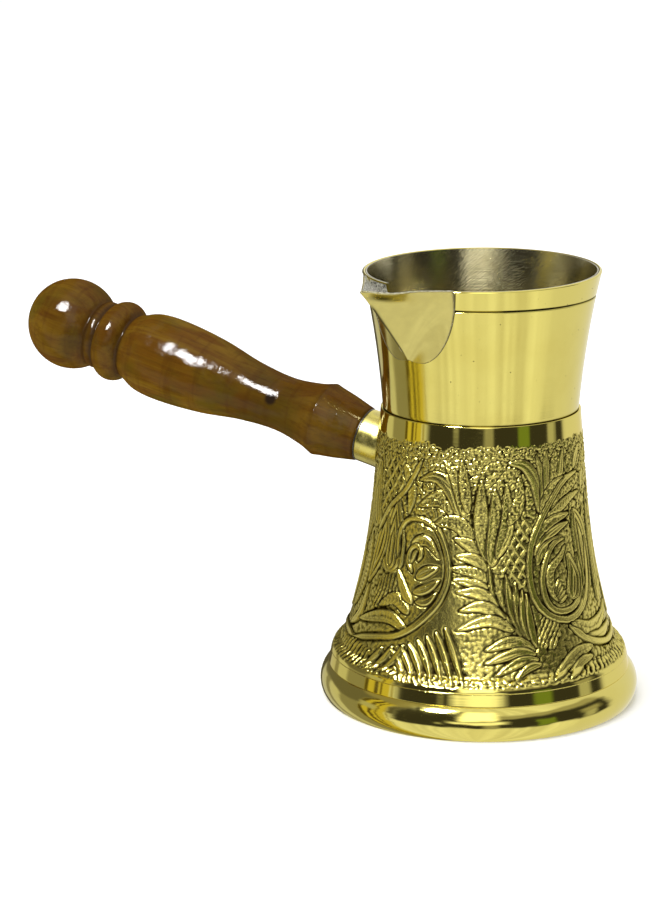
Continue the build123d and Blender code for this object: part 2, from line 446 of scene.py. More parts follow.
def turned_brass():
    """The neck: fine rings from the lathe, dark with painted shade in its seam and groove, soldered inside
    the spout.
    """
    made, nodes = material("turned_brass")
    spot = nodes.place_mm()
    seam_shade = nodes.attribute("seam_shade")
    solder = nodes.attribute("solder")
    rings = nodes.noise(nodes.place_mm((0.03, 0.03, 5.0)), 1.0, 4.0, 0.7)
    pits = nodes.remap(nodes.noise(spot, 0.9, 1.0), 0.76, 0.82)
    tone = nodes.mix(pits, brass_tone(nodes, spot, 0.35), PATINA_AND_SHADE)
    # painted shade: dark in the seam and the engraved line
    tone = nodes.mix(seam_shade, tone, PATINA_AND_SHADE)
    tone = nodes.mix(solder, tone, solder_tone(nodes, nodes.noise(spot, 0.5, 5.0, 0.7)))
    wear = nodes.remap(nodes.noise(spot, 5.0, 5.0), 0.3, 0.75, 0.05, 0.13)
    ripple = nodes.bump(nodes.noise(nodes.place_mm((1.0, 1.0, 0.2)), 1.6, 2.0), 0.009)
    nodes.surface(Base_Color=tone, Metallic=nodes.remap(solder, 0.0, 1.0, 1.0, 0.2),
                  Roughness=nodes.plus(wear, nodes.times(solder, 0.25)),
                  Specular_Tint=grazing(nodes, seam_shade), Normal=nodes.bump(rings, 0.006, ripple))
    return made


def polished_brass():
    """The foot ring and the base: close to a mirror."""
    made, nodes = material("polished_brass")
    spot = nodes.place_mm()
    rough = nodes.remap(nodes.noise(spot, 4.0, 5.0), 0.3, 0.75, 0.035, 0.11)
    scratches = nodes.noise(nodes.place_mm((0.15, 0.15, 2.5)), 1.0, 5.0, 0.75)
    dents = nodes.bump(nodes.noise(spot, 7.0, 1.0), 0.05)
    nodes.surface(Base_Color=brass_tone(nodes, spot), Metallic=1.0, Roughness=rough,
                  Normal=nodes.bump(scratches, 0.004, dents))
    return made


def drawn_brass():
    """The handle's socket: drawn tube, satin, with a painted shadow line at its root where it meets the bell.
    """
    made, nodes = material("drawn_brass")
    spot = nodes.place_mm()
    seam_shade = nodes.attribute("seam_shade")
    stain = nodes.remap(nodes.noise(spot, 2.2, 4.0), 0.35, 0.7, 0.0, 0.6)
    tone = nodes.mix(stain, BRASS, colour(0.56, 0.49, 0.20))
    scratches = nodes.noise(nodes.place_mm((0.15, 0.15, 2.5)), 1.0, 5.0, 0.75)
    # painted shadow at the tube's root
    nodes.surface(Base_Color=nodes.mix(seam_shade, tone, PATINA_AND_SHADE), Metallic=1.0,
                  Roughness=nodes.remap(stain, 0.0, 0.6, 0.20, 0.30),
                  Specular_Tint=grazing(nodes, seam_shade), Normal=nodes.bump(scratches, 0.006))
    return made


def sheet_brass():
    """The folded spout: polished sheet, dark in its seam, with painted shade beside the keel and under the
    lip, grey with solder inside and as a painted highlight along the fold.
    """
    made, nodes = material("sheet_brass")
    spot = nodes.place_mm()
    solder = nodes.attribute("solder")
    seam_shade = nodes.attribute("seam_shade")
    grain = nodes.noise(spot, 0.5, 5.0, 0.7)
    stain = nodes.remap(nodes.noise(spot, 2.5, 4.0), 0.3, 0.7, 0.2, 0.6)
    tone = nodes.mix(stain, colour(0.69, 0.605, 0.205), colour(0.60, 0.53, 0.18))
    # the solder mask also holds the painted highlight along the fold
    coated = nodes.times(solder, nodes.remap(grain, 0.25, 0.5, 0.8, 1.0))
    tone = nodes.mix(coated, tone, solder_tone(nodes, grain))
    tone = nodes.mix(seam_shade, tone, PATINA_AND_SHADE)
    wear = nodes.remap(nodes.noise(spot, 3.0, 5.0), 0.3, 0.75, 0.12, 0.22)
    dents = nodes.bump(nodes.noise(spot, 6.0, 2.0), 0.06)
    nodes.surface(Base_Color=tone, Metallic=nodes.remap(solder, 0.0, 1.0, 1.0, 0.2),
                  Roughness=nodes.plus(wear, nodes.times(solder, 0.2)),
                  Specular_Tint=grazing(nodes, seam_shade),
                  Normal=nodes.bump(nodes.times(grain, solder), 0.6, dents))
    return made


def tinned_inside():
    """The tin wash inside: grey metal, scored aslant by the wiping and round by the lathe."""
    made, nodes = material("tinned_inside")
    spot = nodes.place_mm()
    turn = nodes.azimuth(spot)
    height = nodes.part(spot, 2)
    across = nodes.plus(nodes.times(height, 0.75), nodes.times(turn, 15.0))
    along = nodes.math("SUBTRACT", nodes.times(height, 0.12), nodes.times(turn, 2.6))
    slant = nodes.add("ShaderNodeCombineXYZ", {0: across, 1: along}).outputs[0]
    wipes = nodes.noise(slant, 0.24, 2.0, 0.5)
    rings = nodes.noise(nodes.place_mm((0.04, 0.04, 2.2)), 1.0, 3.0, 0.7)
    patches = nodes.noise(spot, 9.0, 3.0)
    tone = nodes.mix(nodes.remap(patches, 0.35, 0.7), colour(0.50, 0.465, 0.29), colour(0.40, 0.36, 0.20))
    nodes.surface(Base_Color=tone, Metallic=1.0, Roughness=nodes.remap(patches, 0.3, 0.7, 0.10, 0.17),
                  Normal=nodes.bump(wipes, 0.055, nodes.bump(rings, 0.03)))
    return made


def wood_layers(nodes, spot, fibres):
    """How much of each darker colour lies over the wood, in the order they are laid; the creases and the
    shade along the grip are painted shade.
    """
    streaks = nodes.noise(nodes.place_mm((1.0, 1.0, 0.16)), 5.0, 4.0, 0.55, 1.2)
    turning = nodes.noise(nodes.place_mm((0.05, 0.05, 0.45)), 1.0, 3.0, 0.6)
    clouds = nodes.noise(spot, 11.0, 3.0)
    return [
        (nodes.remap(streaks, 0.32, 0.68), colour(0.150, 0.080, 0.0060)),
        (nodes.remap(clouds, 0.42, 0.68, 0.0, 0.7), colour(0.076, 0.056, 0.0042)),
        (nodes.remap(fibres, 0.46, 0.72, 0.0, 0.45), colour(0.040, 0.014, 0.0020)),
        (nodes.remap(turning, 0.52, 0.70, 0.0, 0.35), colour(0.058, 0.019, 0.0024)),
        # painted shade in the creases
        (nodes.times(nodes.attribute("crease_shade"), 0.85), colour(0.030, 0.014, 0.005)),
        # painted shade along the grip
        (nodes.times(nodes.attribute("shade_along_grip"), 0.55), colour(0.040, 0.016, 0.003)),
        (nodes.knot(KNOT, KNOT_RADIUS), colour(0.018, 0.010, 0.005)),
    ]


def varnished_wood():
    """The grip: streaky olive-brown hardwood under an uneven gloss varnish."""
    made, nodes = material("varnished_wood")
    spot = nodes.place_mm()
    fibres = nodes.noise(nodes.place_mm((1.0, 1.0, 0.06)), 0.8, 5.0, 0.65)
    tone = colour(0.100, 0.040, 0.0030)
    for share, darker in wood_layers(nodes, spot, fibres):
        tone = nodes.mix(share, tone, darker)
    runs = nodes.bump(nodes.noise(spot, 9.0, 2.0), 0.9)
    lacquer = nodes.bump(nodes.noise(spot, 1.7, 4.0, 0.6), 0.10, runs)
    pores = nodes.bump(fibres, 0.02)
    wood = nodes.add("ShaderNodeBsdfDiffuse", {"Color": tone, "Roughness": 0.4, "Normal": pores})
    gloss = {"Color": colour(1, 1, 1), "Roughness": 0.10, "Normal": lacquer}
    varnish = nodes.add("ShaderNodeBsdfGlossy", gloss)
    coated = nodes.add("ShaderNodeMixShader", {0: VARNISH, 1: wood.outputs[0], 2: varnish.outputs[0]})
    nodes.add("ShaderNodeOutputMaterial", {"Surface": coated.outputs[0]})
    return made


def steel(name, bright, metal=1.0):
    """Turned steel of the stud, or darker steel of the washer."""
    made, nodes = material(name)
    spot = nodes.place_mm()
    stains = nodes.remap(nodes.noise(spot, 1.8, 4.0), 0.4, 0.7)
    deep = tuple(part * 0.55 for part in bright[:3]) + (1.0,)
    rings = nodes.noise(nodes.place_mm((3.0, 3.0, 3.0)), 1.0, 4.0, 0.7)
    nodes.surface(Base_Color=nodes.mix(stains, bright, deep), Metallic=metal,
                  Roughness=nodes.remap(stains, 0.0, 1.0, 0.22, 0.42), Normal=nodes.bump(rings, 0.01))
    return made



# ---------------------------------------------------------------- relief of the bell

PANEL_START = -147.0       # the chasing repeats twice round the bell
PANEL_SPAN = 180.0
MM_PER_DEGREE = 0.506
RELIEF_BOTTOM = 12.2
RELIEF_TOP = 70.4
SAMPLES = 12               # height samples for each millimetre
GROUND = -0.30
OUTLINE_REACH = 0.8


class Relief:
    """Heights of the chased metal over one panel, painted stroke by stroke.

    Strokes are placed by (azimuth, height); heights are in mm above the turned surface.
    """

    def __init__(self, seed):
        self.random = np.random.default_rng(seed)
        self.rows = round((RELIEF_TOP - RELIEF_BOTTOM) * SAMPLES)
        self.columns = round(PANEL_SPAN * MM_PER_DEGREE * SAMPLES)
        self.x = (np.arange(self.columns) + 0.5) / SAMPLES
        self.y = (np.arange(self.rows) + 0.5) / SAMPLES + RELIEF_BOTTOM
        self.fine = self.pebbles(0.72)
        self.coarse = self.pebbles(1.0)
        self.drift = self.soft_noise(5.0)
        self.height = GROUND + 0.0 * self.fine
        self.groove_dark = 0.0 * self.fine
        upper = np.clip((self.y[:, None] - 44) / 18, 0, 1)
        self.grit = 0.35 + 0.65 * upper * (0.4 + 0.9 * self.drift).clip(0, 1)

    def pebbles(self, cell):
        """Rounded lumps, one in each jittered cell: 1 on top and 0 between them."""
        across = round(self.columns / SAMPLES / cell)
        up = ceil(self.rows / SAMPLES / cell) + 2
        jitter = self.random.random((2, up, across)) * 0.8 + 0.1
        px = self.x[None, :] / (self.columns / SAMPLES) * across
        py = (self.y[:, None] - RELIEF_BOTTOM) / cell + 1
        ix, iy = np.floor(px).astype(int), np.floor(py).astype(int)
        nearest = np.full((self.rows, self.columns), 9.0)
        for dx in (-1, 0, 1):
            for dy in (-1, 0, 1):
                cx, cy = (ix + dx) % across, (iy + dy) % up
                gap = np.hypot(ix + dx + jitter[0][cy, cx] - px, iy + dy + jitter[1][cy, cx] - py)
                nearest = np.minimum(nearest, gap)
        lump = np.clip((0.66 - nearest) / 0.36, 0, 1)
        return lump * lump * (3 - 2 * lump)

    def soft_noise(self, cell):
        """Smooth noise from 0 to 1 whose blotches are about cell millimetres."""
        across = round(self.columns / SAMPLES / cell)
        up = ceil(self.rows / SAMPLES / cell) + 2
        knots = self.random.random((up, across))
        px = self.x[None, :] / (self.columns / SAMPLES) * across
        py = (self.y[:, None] - RELIEF_BOTTOM) / cell
        ix, iy = np.floor(px).astype(int), np.floor(py).astype(int)
        fx, fy = px - ix, py - iy
        fx, fy = fx * fx * (3 - 2 * fx), fy * fy * (3 - 2 * fy)
        low = knots[iy, ix % across] * (1 - fx) + knots[iy, (ix + 1) % across] * fx
        high = knots[iy + 1, ix % across] * (1 - fx) + knots[iy + 1, (ix + 1) % across] * fx
        return low * (1 - fy) + high * fy

    def flat(self, path):
        """(azimuth, height) places as (x, y) in mm on the unrolled panel."""
        return np.array([((a - PANEL_START) * MM_PER_DEGREE, h) for a, h in path])

    def window(self, points, reach):
        """Rows and columns of samples round the points, and their places; columns wrap round the panel."""
        (x0, y0), (x1, y1) = points.min(0) - reach, points.max(0) + reach
        rows = np.arange(max(0, floor((y0 - RELIEF_BOTTOM) * SAMPLES)),
                         min(self.rows, ceil((y1 - RELIEF_BOTTOM) * SAMPLES)))
        columns = np.arange(floor(x0 * SAMPLES), ceil(x1 * SAMPLES))
        x = (columns + 0.5) / SAMPLES
        y = (rows + 0.5) / SAMPLES + RELIEF_BOTTOM
        return np.ix_(rows, columns % self.columns), x[None, :], y[:, None]

    def blade(self, width, style, path):
        """One leaf, finger or stem along a curve: raised, with a chased groove round it."""
        line = through(self.flat(path), 26)
        patch, x, y = self.window(line, width / 2 + OUTLINE_REACH)
        if not patch[0].size:
            return
        length = np.linalg.norm(np.diff(line, axis=0), axis=1).sum()
        nearest = np.full(np.broadcast(x, y).shape, 1e9)
        along = np.zeros_like(nearest)
        for number, (a, b) in enumerate(zip(line, line[1:])):
            run = b - a
            share = np.clip(((x - a[0]) * run[0] + (y - a[1]) * run[1]) / (run @ run), 0, 1)
            gap = np.hypot(x - a[0] - share * run[0], y - a[1] - share * run[1])
            closer = gap < nearest
            nearest = np.where(closer, gap, nearest)
            along = np.where(closer, (number + share) / (len(line) - 1), along)
        top_of, outline = STYLES[style]
        half = width / 2 * outline(along)
        inside = half - nearest
        top = top_of(SimpleNamespace(
            grit=self.grit[patch], fine=self.fine[patch], coarse=self.coarse[patch],
            inside=inside, out=nearest / np.maximum(half, 0.05), along=along * length,
        ))
        cover = np.clip(inside / 0.16 + 0.5, 0, 1)
        groove = 0.30 * hump(inside, -0.26, 0.18)
        self.height[patch] = self.height[patch] * (1 - cover) + top * cover - groove * (1 - cover)
        # darker along the groove round the stroke
        self.groove_dark[patch] = np.maximum(self.groove_dark[patch] * (1 - cover), hump(inside, -0.16, 0.20))

    def inside_of(self, corners, x, y):
        """Which samples lie in a polygon."""
        inside = np.zeros(np.broadcast(x, y).shape, bool)
        for (ax, ay), (bx, by) in zip(corners, np.roll(corners, -1, axis=0)):
            if ay == by:
                continue
            crossing = (ay > y) != (by > y)
            inside ^= crossing & (x < (bx - ax) * (y - ay) / (by - ay) + ax)
        return inside

    def hatch(self, pitch, angle, crossed, corners):
        """A region of raised ribs at an angle, or of diamonds where two sets cross."""
        corners = self.flat(corners)
        patch, x, y = self.window(corners, 0.2)
        inside = self.inside_of(corners, x, y)
        x, y = x + 1.1 * self.drift[patch], y + 0.6 * self.coarse[patch] * (not crossed)
        ribs = self.ribs(x, y, pitch, angle)
        if crossed:
            lines = np.maximum(ribs, self.ribs(x, y, pitch, -angle)) ** 5
            ribs = np.maximum(lines, 0.45 * self.fine[patch])
        top = GROUND + 0.42 * ribs
        self.height[patch] = np.where(inside, top, self.height[patch])

    def ribs(self, x, y, pitch, angle):
        """Rounded parallel ridges."""
        across = (x * sin(radians(angle)) - y * cos(radians(angle))) / pitch
        return np.clip(np.cos(2 * pi * across) * 0.75 + 0.35, 0, 1)

    def finish(self):
        """The heights faded out at the polished bands, and how dark the hollows are."""
        ragged = self.soft_noise(1.3) * 1.2 + self.soft_noise(6.0) * 1.6
        top_edge = 68.2 + ragged
        bottom_edge = 12.5 + 0.35 * self.soft_noise(1.0)
        y = self.y[:, None]
        mask = np.clip((top_edge - y) / 0.35, 0, 1) * np.clip((y - bottom_edge) / 0.35, 0, 1)
        smooth = soften(self.height, 0.06)
        around = soften(self.height, 0.75)
        sunk = np.clip((around - smooth) / 0.13 + 0.08, 0, 1)
        depth = np.clip((-0.10 - smooth) / 0.36, 0, 1)
        hollow = np.clip(np.maximum(0.95 * sunk + 0.45 * depth, self.groove_dark), 0, 1)
        return smooth * mask, soften(hollow * mask, 0.05), mask


def soften(field, sigma):
    """The field blurred over sigma millimetres."""
    rows, columns = field.shape
    padded = np.vstack([field, field[::-1]])
    fy = np.fft.fftfreq(rows * 2)[:, None]
    fx = np.fft.rfftfreq(columns)[None, :]
    weight = np.exp(-2 * (pi * sigma * SAMPLES) ** 2 * (fx**2 + fy**2))
    return np.fft.irfft2(np.fft.rfft2(padded) * weight, s=padded.shape)[:rows]


def leaf_width(t):
    """Widest before the middle, and pointed at its far end."""
    return np.sin(pi * np.clip(t, 0.0, 1) ** 0.75) ** 0.7 * 0.97 + 0.03


def tongue_width(t):
    """Broad, with a round end."""
    end = ((t - 0.8) / 0.2).clip(0)
    return (0.35 + 0.65 * np.clip(t * 2, 0, 1)) * np.sqrt(np.clip(1 - end**2, 0, 1))


def stem_width(t):
    """Even, with short points."""
    return np.clip(np.minimum(t, 1 - t) * 9 + 0.25, 0, 1)


# heights across a stroke: inside is mm from its edge, out goes from 0 on its line to 1 at its edge


def leaf_top(at):
    """A stippled leaf with a bright rim and a midrib."""
    stipple = 0.24 * at.grit * at.fine - 0.10 * at.grit - 0.06
    return stipple + 0.20 * hump(at.inside, 0.24, 0.17) - 0.10 * hump(at.out, 0, 0.14)


def smooth_top(at):
    """A polished leaf, domed, with a chased midrib."""
    return 0.10 * (1 - at.out**3) - 0.16 * hump(at.out, 0, 0.13) * (at.inside > 0.5)


def veined_top(at):
    """A leaf with veins running out to a bright rim."""
    vein = np.cos(2 * pi * (at.along / 1.25 - at.out * 0.9))
    return 0.02 + 0.11 * np.clip(vein, -0.7, 1) + 0.06 * hump(at.inside, 0.2, 0.15)


def nested_top(at):
    """Ridges that follow the outline, one inside the other."""
    return 0.15 * np.cos(2 * pi * (at.inside - 0.3) / 1.35) - 0.03


def seed_top(at):
    """A plain rounded ridge."""
    return 0.16 * np.sqrt(np.clip(1 - at.out**2, 0, 1)) - 0.06


def stem_top(at):
    """A rounded cord with a line chased along its middle."""
    return seed_top(at) + 0.01 - 0.17 * hump(at.out, 0, 0.2) * (at.inside > 0.35)


def pebble_top(at):
    """Coarse stipple with a faint rim."""
    return 0.30 * at.coarse - 0.20 + 0.05 * hump(at.inside, 0.2, 0.15)


STYLES = {
    "leaf": (leaf_top, leaf_width),
    "smooth": (smooth_top, leaf_width),
    "veined": (veined_top, leaf_width),
    "pebble": (pebble_top, leaf_width),
    "nested": (nested_top, leaf_width),
    "tongue": (nested_top, tongue_width),
    "stem": (stem_top, stem_width),
    "seed": (seed_top, stem_width),
    "bead": (seed_top, leaf_width),
}

# strokes of the chasing, painted in order: width in mm, style, and (azimuth, height) points of its line

FAN_LEAVES = [
    (4.2, "pebble", [(-66, 60), (-60, 64), (-52, 66)]),
    (5.0, "leaf", [(-71, 47), (-78, 54), (-88, 57), (-101, 54.5)]),
    (4.2, "smooth", [(-72, 49), (-80, 58), (-90, 62), (-101, 61)]),
    (3.4, "leaf", [(-73, 52), (-79, 61), (-87, 66.5)]),
    (3.0, "leaf", [(-73, 54), (-75, 60), (-77, 67)]),
    (3.8, "leaf", [(-68, 45), (-76, 50.5), (-84, 51.5), (-92, 50)]),
    (3.2, "leaf", [(-64, 41), (-70, 45.5), (-80, 47.6)]),
    (2.8, "leaf", [(-62, 39), (-69, 42.5), (-79, 43.2)]),
    (2.4, "veined", [(-61, 37), (-70, 39.6), (-82, 40.2)]),
    (2.2, "leaf", [(-60, 35), (-70, 36.8), (-80, 37.6)]),
    (4.2, "leaf", [(-62, 42), (-66, 52), (-66, 62)]),
    (4.6, "leaf", [(-61, 41), (-58, 50), (-59, 60)]),
    (3.6, "leaf", [(-58, 43), (-52.5, 51), (-52.5, 61)]),
    (3.0, "pebble", [(-52, 51), (-46, 56), (-45, 63)]),
    (0.9, "seed", [(-62, 41), (-61, 36), (-58, 31), (-50, 26), (-42, 20.5)]),
]

ACANTHUS = [
    (2.7, "leaf", [(-58, 31.5), (-67, 34.5), (-78, 34.6)]),
    (2.7, "leaf", [(-55, 28.5), (-65, 31.3), (-76, 30.2)]),
    (2.5, "leaf", [(-51, 25.5), (-62, 28), (-77, 25.5)]),
    (2.2, "leaf", [(-44, 23), (-51, 30), (-54, 39)]),
    (2.0, "leaf", [(-43, 22), (-48, 29), (-49.5, 37)]),
    (1.8, "smooth", [(-42, 21.5), (-46, 28), (-46, 35)]),
    (1.6, "smooth", [(-41.5, 21), (-43, 27), (-44, 34)]),
    (2.7, "leaf", [(-42, 20.5), (-52, 22.8), (-64, 21)]),
    (2.3, "smooth", [(-42, 19.5), (-51, 20.2), (-64, 18)]),
    (2.1, "leaf", [(-41, 18.3), (-50, 18), (-60, 15.2)]),
    (1.6, "smooth", [(-40, 17.2), (-46, 16.6), (-52, 14.2)]),
    (2.6, "leaf", [(-10, 18.4), (-22, 17.6), (-36, 13.4)]),
    (2.0, "smooth", [(-12, 16.2), (-20, 15.6), (-29, 13)]),
]

PAISLEY = [
    (5.2, "leaf", [(-33, 52), (-24, 57.5), (-10, 59), (1, 60)]),
    (2.2, "veined", [(-33, 50.5), (-24, 52.6), (-12, 55), (-1, 56)]),
    (2.6, "leaf", [(-38, 45.5), (-32, 49), (-25, 50.8), (-13, 51.5)]),
    (2.3, "smooth", [(-38, 43), (-31, 46.4), (-23, 48.4), (-14, 49.4)]),
    (2.0, "leaf", [(-37, 40.5), (-34, 43.6), (-28, 45.4), (-20, 46.4)]),
    (7.0, "nested", [(-9, 52), (-3.5, 44), (-4, 34), (-10, 27.5)]),
    (1.5, "stem", [(-2, 61), (-15, 60), (-25, 56.2), (-34, 51), (-39.5, 46), (-41.5, 40), (-40.5, 34),
                   (-36, 29.5), (-29, 27), (-21, 26), (-12, 27.5), (-5, 31.5), (-1, 37), (0, 44)]),
    (1.3, "stem", [(-19, 45.6), (-26, 45), (-31, 42), (-34.5, 37), (-33.5, 32), (-29, 28.9), (-21, 28.2),
                   (-13, 30), (-9, 35), (-9.5, 41)]),
    (4.4, "tongue", [(-16, 41), (-14, 36), (-17, 30.5)]),
    (2.2, "veined", [(-25, 30.5), (-29.5, 34), (-29.5, 38.5), (-22, 41.5), (-18, 44)]),
]
PAISLEY += [(0.75, "bead", [(-28 + 0.6 * i, 33.2 - 0.7 * i), (-24.5 + 1.1 * i, 36.4 - 1.1 * i)])
            for i in range(5)]

FINGERS = [
    (3.4, "smooth", [(-33.5, 53), (-35, 60), (-42, 65), (-52, 66)]),
    (2.2, "smooth", [(-31.5, 54), (-31, 61), (-35, 67.5)]),
    (2.8, "smooth", [(-28.5, 57), (-28, 62), (-29, 68)]),
    (2.8, "leaf", [(-24.5, 59), (-23, 63), (-21.5, 68)]),
    (2.4, "smooth", [(-19, 60.5), (-17.5, 64), (-15.5, 68)]),
    (2.4, "leaf", [(-13, 61.8), (-11, 64.5), (-7.5, 68)]),
    (2.4, "smooth", [(-6, 62), (-3, 64.5), (3, 67.5)]),
    (2.6, "leaf", [(0, 61), (7, 63), (15, 66.5)]),
]

ROSE = [
    (2.6, "smooth", [(-99, 36.8), (-94, 38.6), (-87.5, 40)]),
    (2.2, "smooth", [(-100, 33.2), (-93, 34.6), (-86.5, 37)]),
    (1.6, "smooth", [(-98, 31), (-92, 31.6), (-87.5, 34)]),
    (2.6, "leaf", [(-104, 40), (-100.5, 45.3), (-94, 46), (-87.5, 42.5)]),
    (1.0, "seed", [(-99, 41), (-97.5, 43), (-100, 44.6), (-104, 43.4), (-105, 40.4), (-102, 38)]),
    (9.0, "tongue", [(-116, 54), (-117, 45), (-117.5, 36.5)]),
    (5.0, "nested", [(-123, 50), (-127.5, 41), (-134, 32)]),
    (7.0, "tongue", [(-137, 62), (-139, 53), (-135, 46)]),
    (3.0, "leaf", [(-101, 24), (-114, 26), (-135, 22.6)]),
    (3.0, "veined", [(-101, 28), (-110, 30.8), (-120, 28)]),
    (2.4, "smooth", [(-100, 30.5), (-105, 33), (-111, 38)]),
    (1.4, "stem", [(-97, 50.4), (-90, 49.7), (-85.5, 46.3), (-82.5, 41.5), (-82.5, 37), (-86, 32),
                   (-92, 28), (-99, 24.5), (-107, 22), (-118, 20.5), (-135, 18)]),
    (1.1, "seed", [(-90, 49.7), (-97, 51.2), (-107, 50.6), (-112, 47), (-112, 41)]),
    (3.0, "veined", [(-112, 64), (-106, 58), (-107, 52)]),
    (1.2, "stem", [(-132, 45), (-122, 52.5), (-110, 58), (-100, 66)]),
]

FAR_SIDE = [
    (6.5, "nested", [(6, 27), (12, 38), (9, 55)]),
    (5.5, "nested", [(20, 22), (27, 36), (22, 50)]),
    (4.0, "leaf", [(12, 46), (19, 56), (30, 61)]),
    (3.6, "veined", [(30, 40), (37, 50), (40, 62)]),
    (3.4, "veined", [(32, 24), (40, 33), (42, 44)]),
    (3.0, "smooth", [(0, 34), (-3, 42), (2, 52)]),
    (2.8, "leaf", [(16, 30), (19, 40), (15, 47)]),
    (2.6, "leaf", [(28, 44), (31, 52), (28, 60)]),
    (2.6, "smooth", [(2, 56), (6, 62), (14, 66)]),
    (2.8, "leaf", [(43, 52), (47, 59), (45, 67)]),
    (2.4, "smooth", [(36, 20), (44, 24), (48, 32)]),
    (3.2, "leaf", [(-20, 25.2), (-8, 22.4), (6, 23.4), (16, 26)]),
    (2.4, "smooth", [(-13, 20.6), (0, 19.6), (15, 20.8)]),
    (1.4, "stem", [(-22, 24.5), (-10, 19.6), (6, 17.4), (24, 18.4), (45, 18)]),
    (3.4, "leaf", [(14, 62), (24, 65), (34, 67)]),
]

GRASS = [
    (1.35, "smooth", [(-82 - 4.2 * i, 26 - 1.2 * i), (-77 - 4.0 * i, 19.3 - 0.6 * i), (-72.5 - 4.3 * i, 13)])
    for i in range(7)
]
GRASS += [
    (1.3, "smooth", [(-101 - 5.5 * i, 20.5 - 0.9 * i), (-105 - 5.0 * i, 16.2), (-111 - 4.4 * i, 13)])
    for i in range(3)
]

# hatched patches: distance between ribs, angle of the ribs, crossed or not, corners
HATCHES = [
    (2.1, 54, True, [(-57, 39), (-46, 54), (-40, 50), (-42, 37), (-48, 35)]),
    (2.3, 56, True, [(-130, 51), (-112, 50), (-108, 62), (-126, 66)]),
    (1.1, 75, False, [(-125, 27), (-109, 29), (-109, 38), (-125, 34)]),
    (1.3, 66, False, [(-149, 12.5), (-121, 12.5), (-119, 17), (-149, 19)]),
    (1.0, 62, False, [(-41, 21), (-31, 20), (-27, 26), (-38, 28.5)]),
    (1.2, 58, False, [(-34, 12.3), (33, 12.3), (33, 16), (-20, 15)]),
]

# patches of ground left smooth: azimuth, height, half their width in degrees, half their height
PLAIN_GROUND = [(-93, 40, 12, 11), (-80, 27, 5, 6), (-92, 22, 9, 4)]
PEBBLED_ABOVE = 62.5
PEBBLED_BELOW = 15.2


def chase_bell():
    """Paints the panel and returns it with its heights, hollows and mask."""
    relief = Relief(seed=11)
    x, y = relief.x[None, :], relief.y[:, None]
    plain = np.zeros_like(relief.height)
    for turn, height, half_width, half_height in PLAIN_GROUND:
        centre_x, centre_y = relief.flat([(turn, height)])[0]
        plain += hump(x, centre_x, half_width * MM_PER_DEGREE) * hump(y, centre_y, half_height)
    rough = np.clip(1 - plain, 0, 1)
    relief.height += rough * 0.36 * relief.grit * relief.coarse + (1 - rough) * 0.06
    pebbled = np.clip((y - PEBBLED_ABOVE) / 2, 0, 1) + np.clip(PEBBLED_BELOW - y, 0, 1)
    relief.height += pebbled * (GROUND + 0.40 * relief.fine - relief.height)
    for hatch in HATCHES:
        relief.hatch(*hatch)
    for strokes in (FAR_SIDE, GRASS, FINGERS, FAN_LEAVES, ACANTHUS, ROSE, PAISLEY):
        for stroke in strokes:
            relief.blade(*stroke)
    return relief, relief.finish()


def sample(relief, field, azimuths, heights):
    """Values of a field of the panel at each azimuth (columns) and height (rows)."""
    px = ((azimuths - PANEL_START) % PANEL_SPAN) * MM_PER_DEGREE * SAMPLES - 0.5
    py = np.clip((heights - RELIEF_BOTTOM) * SAMPLES - 0.5, 0, relief.rows - 1.001)
    ix, iy = np.floor(px).astype(int), np.floor(py).astype(int)
    fx, fy = (px - ix)[None, :], (py - iy)[:, None]
    left, right = ix % relief.columns, (ix + 1) % relief.columns
    low = field[np.ix_(iy, left)] * (1 - fx) + field[np.ix_(iy, right)] * fx
    high = field[np.ix_(iy + 1, left)] * (1 - fx) + field[np.ix_(iy + 1, right)] * fx
    within = (heights > RELIEF_BOTTOM) & (heights < RELIEF_TOP)
    return (low * (1 - fy) + high * fy) * within[:, None]


# ---------------------------------------------------------------- pieces of the pot

CAVITY = [(CAVITY_FOOT, FOOT_TOP), (30.4, 22.6), (27.0, 38.0), (24.7, 55.0), (CAVITY_TOP, SPIGOT_END)]
BELL_COLUMNS = 720
RELIEF_ROWS = 236


def bell_side():
    """The bell's outer outline above its polished foot band, from the shoulder to the seam."""
    return through([SHOULDER, (32.5, 22.6), (29.0, 38.0), (26.8, 55.0), (BELL_TOP, SEAM)], 400)


def bell_radius(height):
    """Outer radius of the bell's side at a height."""
    side = bell_side()
    return np.interp(height, side[:, 1], side[:, 0])


def bell_outlines():
    """The bell's outer outline, dense where it is chased, and its inner one."""
    band = arc((37.9, 11.2), (37.0, 13.3), SHOULDER, 24)
    side = np.vstack([band, bell_side()[1:]])
    height = side[:, 1]
    top = even(side[height > RELIEF_TOP], 12)[:-1]
    foot_edge = [(36.5, FOOT_TOP), (BELL_FOOT, FOOT_TOP, 0.18), (37.9, 11.2, 0.12), band[1]]
    top_edge = [top[-1], (BELL_TOP, SEAM, 0.2), (SPIGOT_RADIUS, SEAM)]
    outer = np.vstack([
        bevelled(foot_edge, closed=False)[1:-1],
        side[height < RELIEF_BOTTOM][1:],
        even(side[(height >= RELIEF_BOTTOM) & (height <= RELIEF_TOP)], RELIEF_ROWS),
        top,
        bevelled(top_edge, closed=False)[1:-1],
    ])
    inner = np.vstack([[(SPIGOT_RADIUS, SEAM), (SPIGOT_RADIUS, SPIGOT_END)], through(CAVITY[::-1], 16)])
    return outer, inner


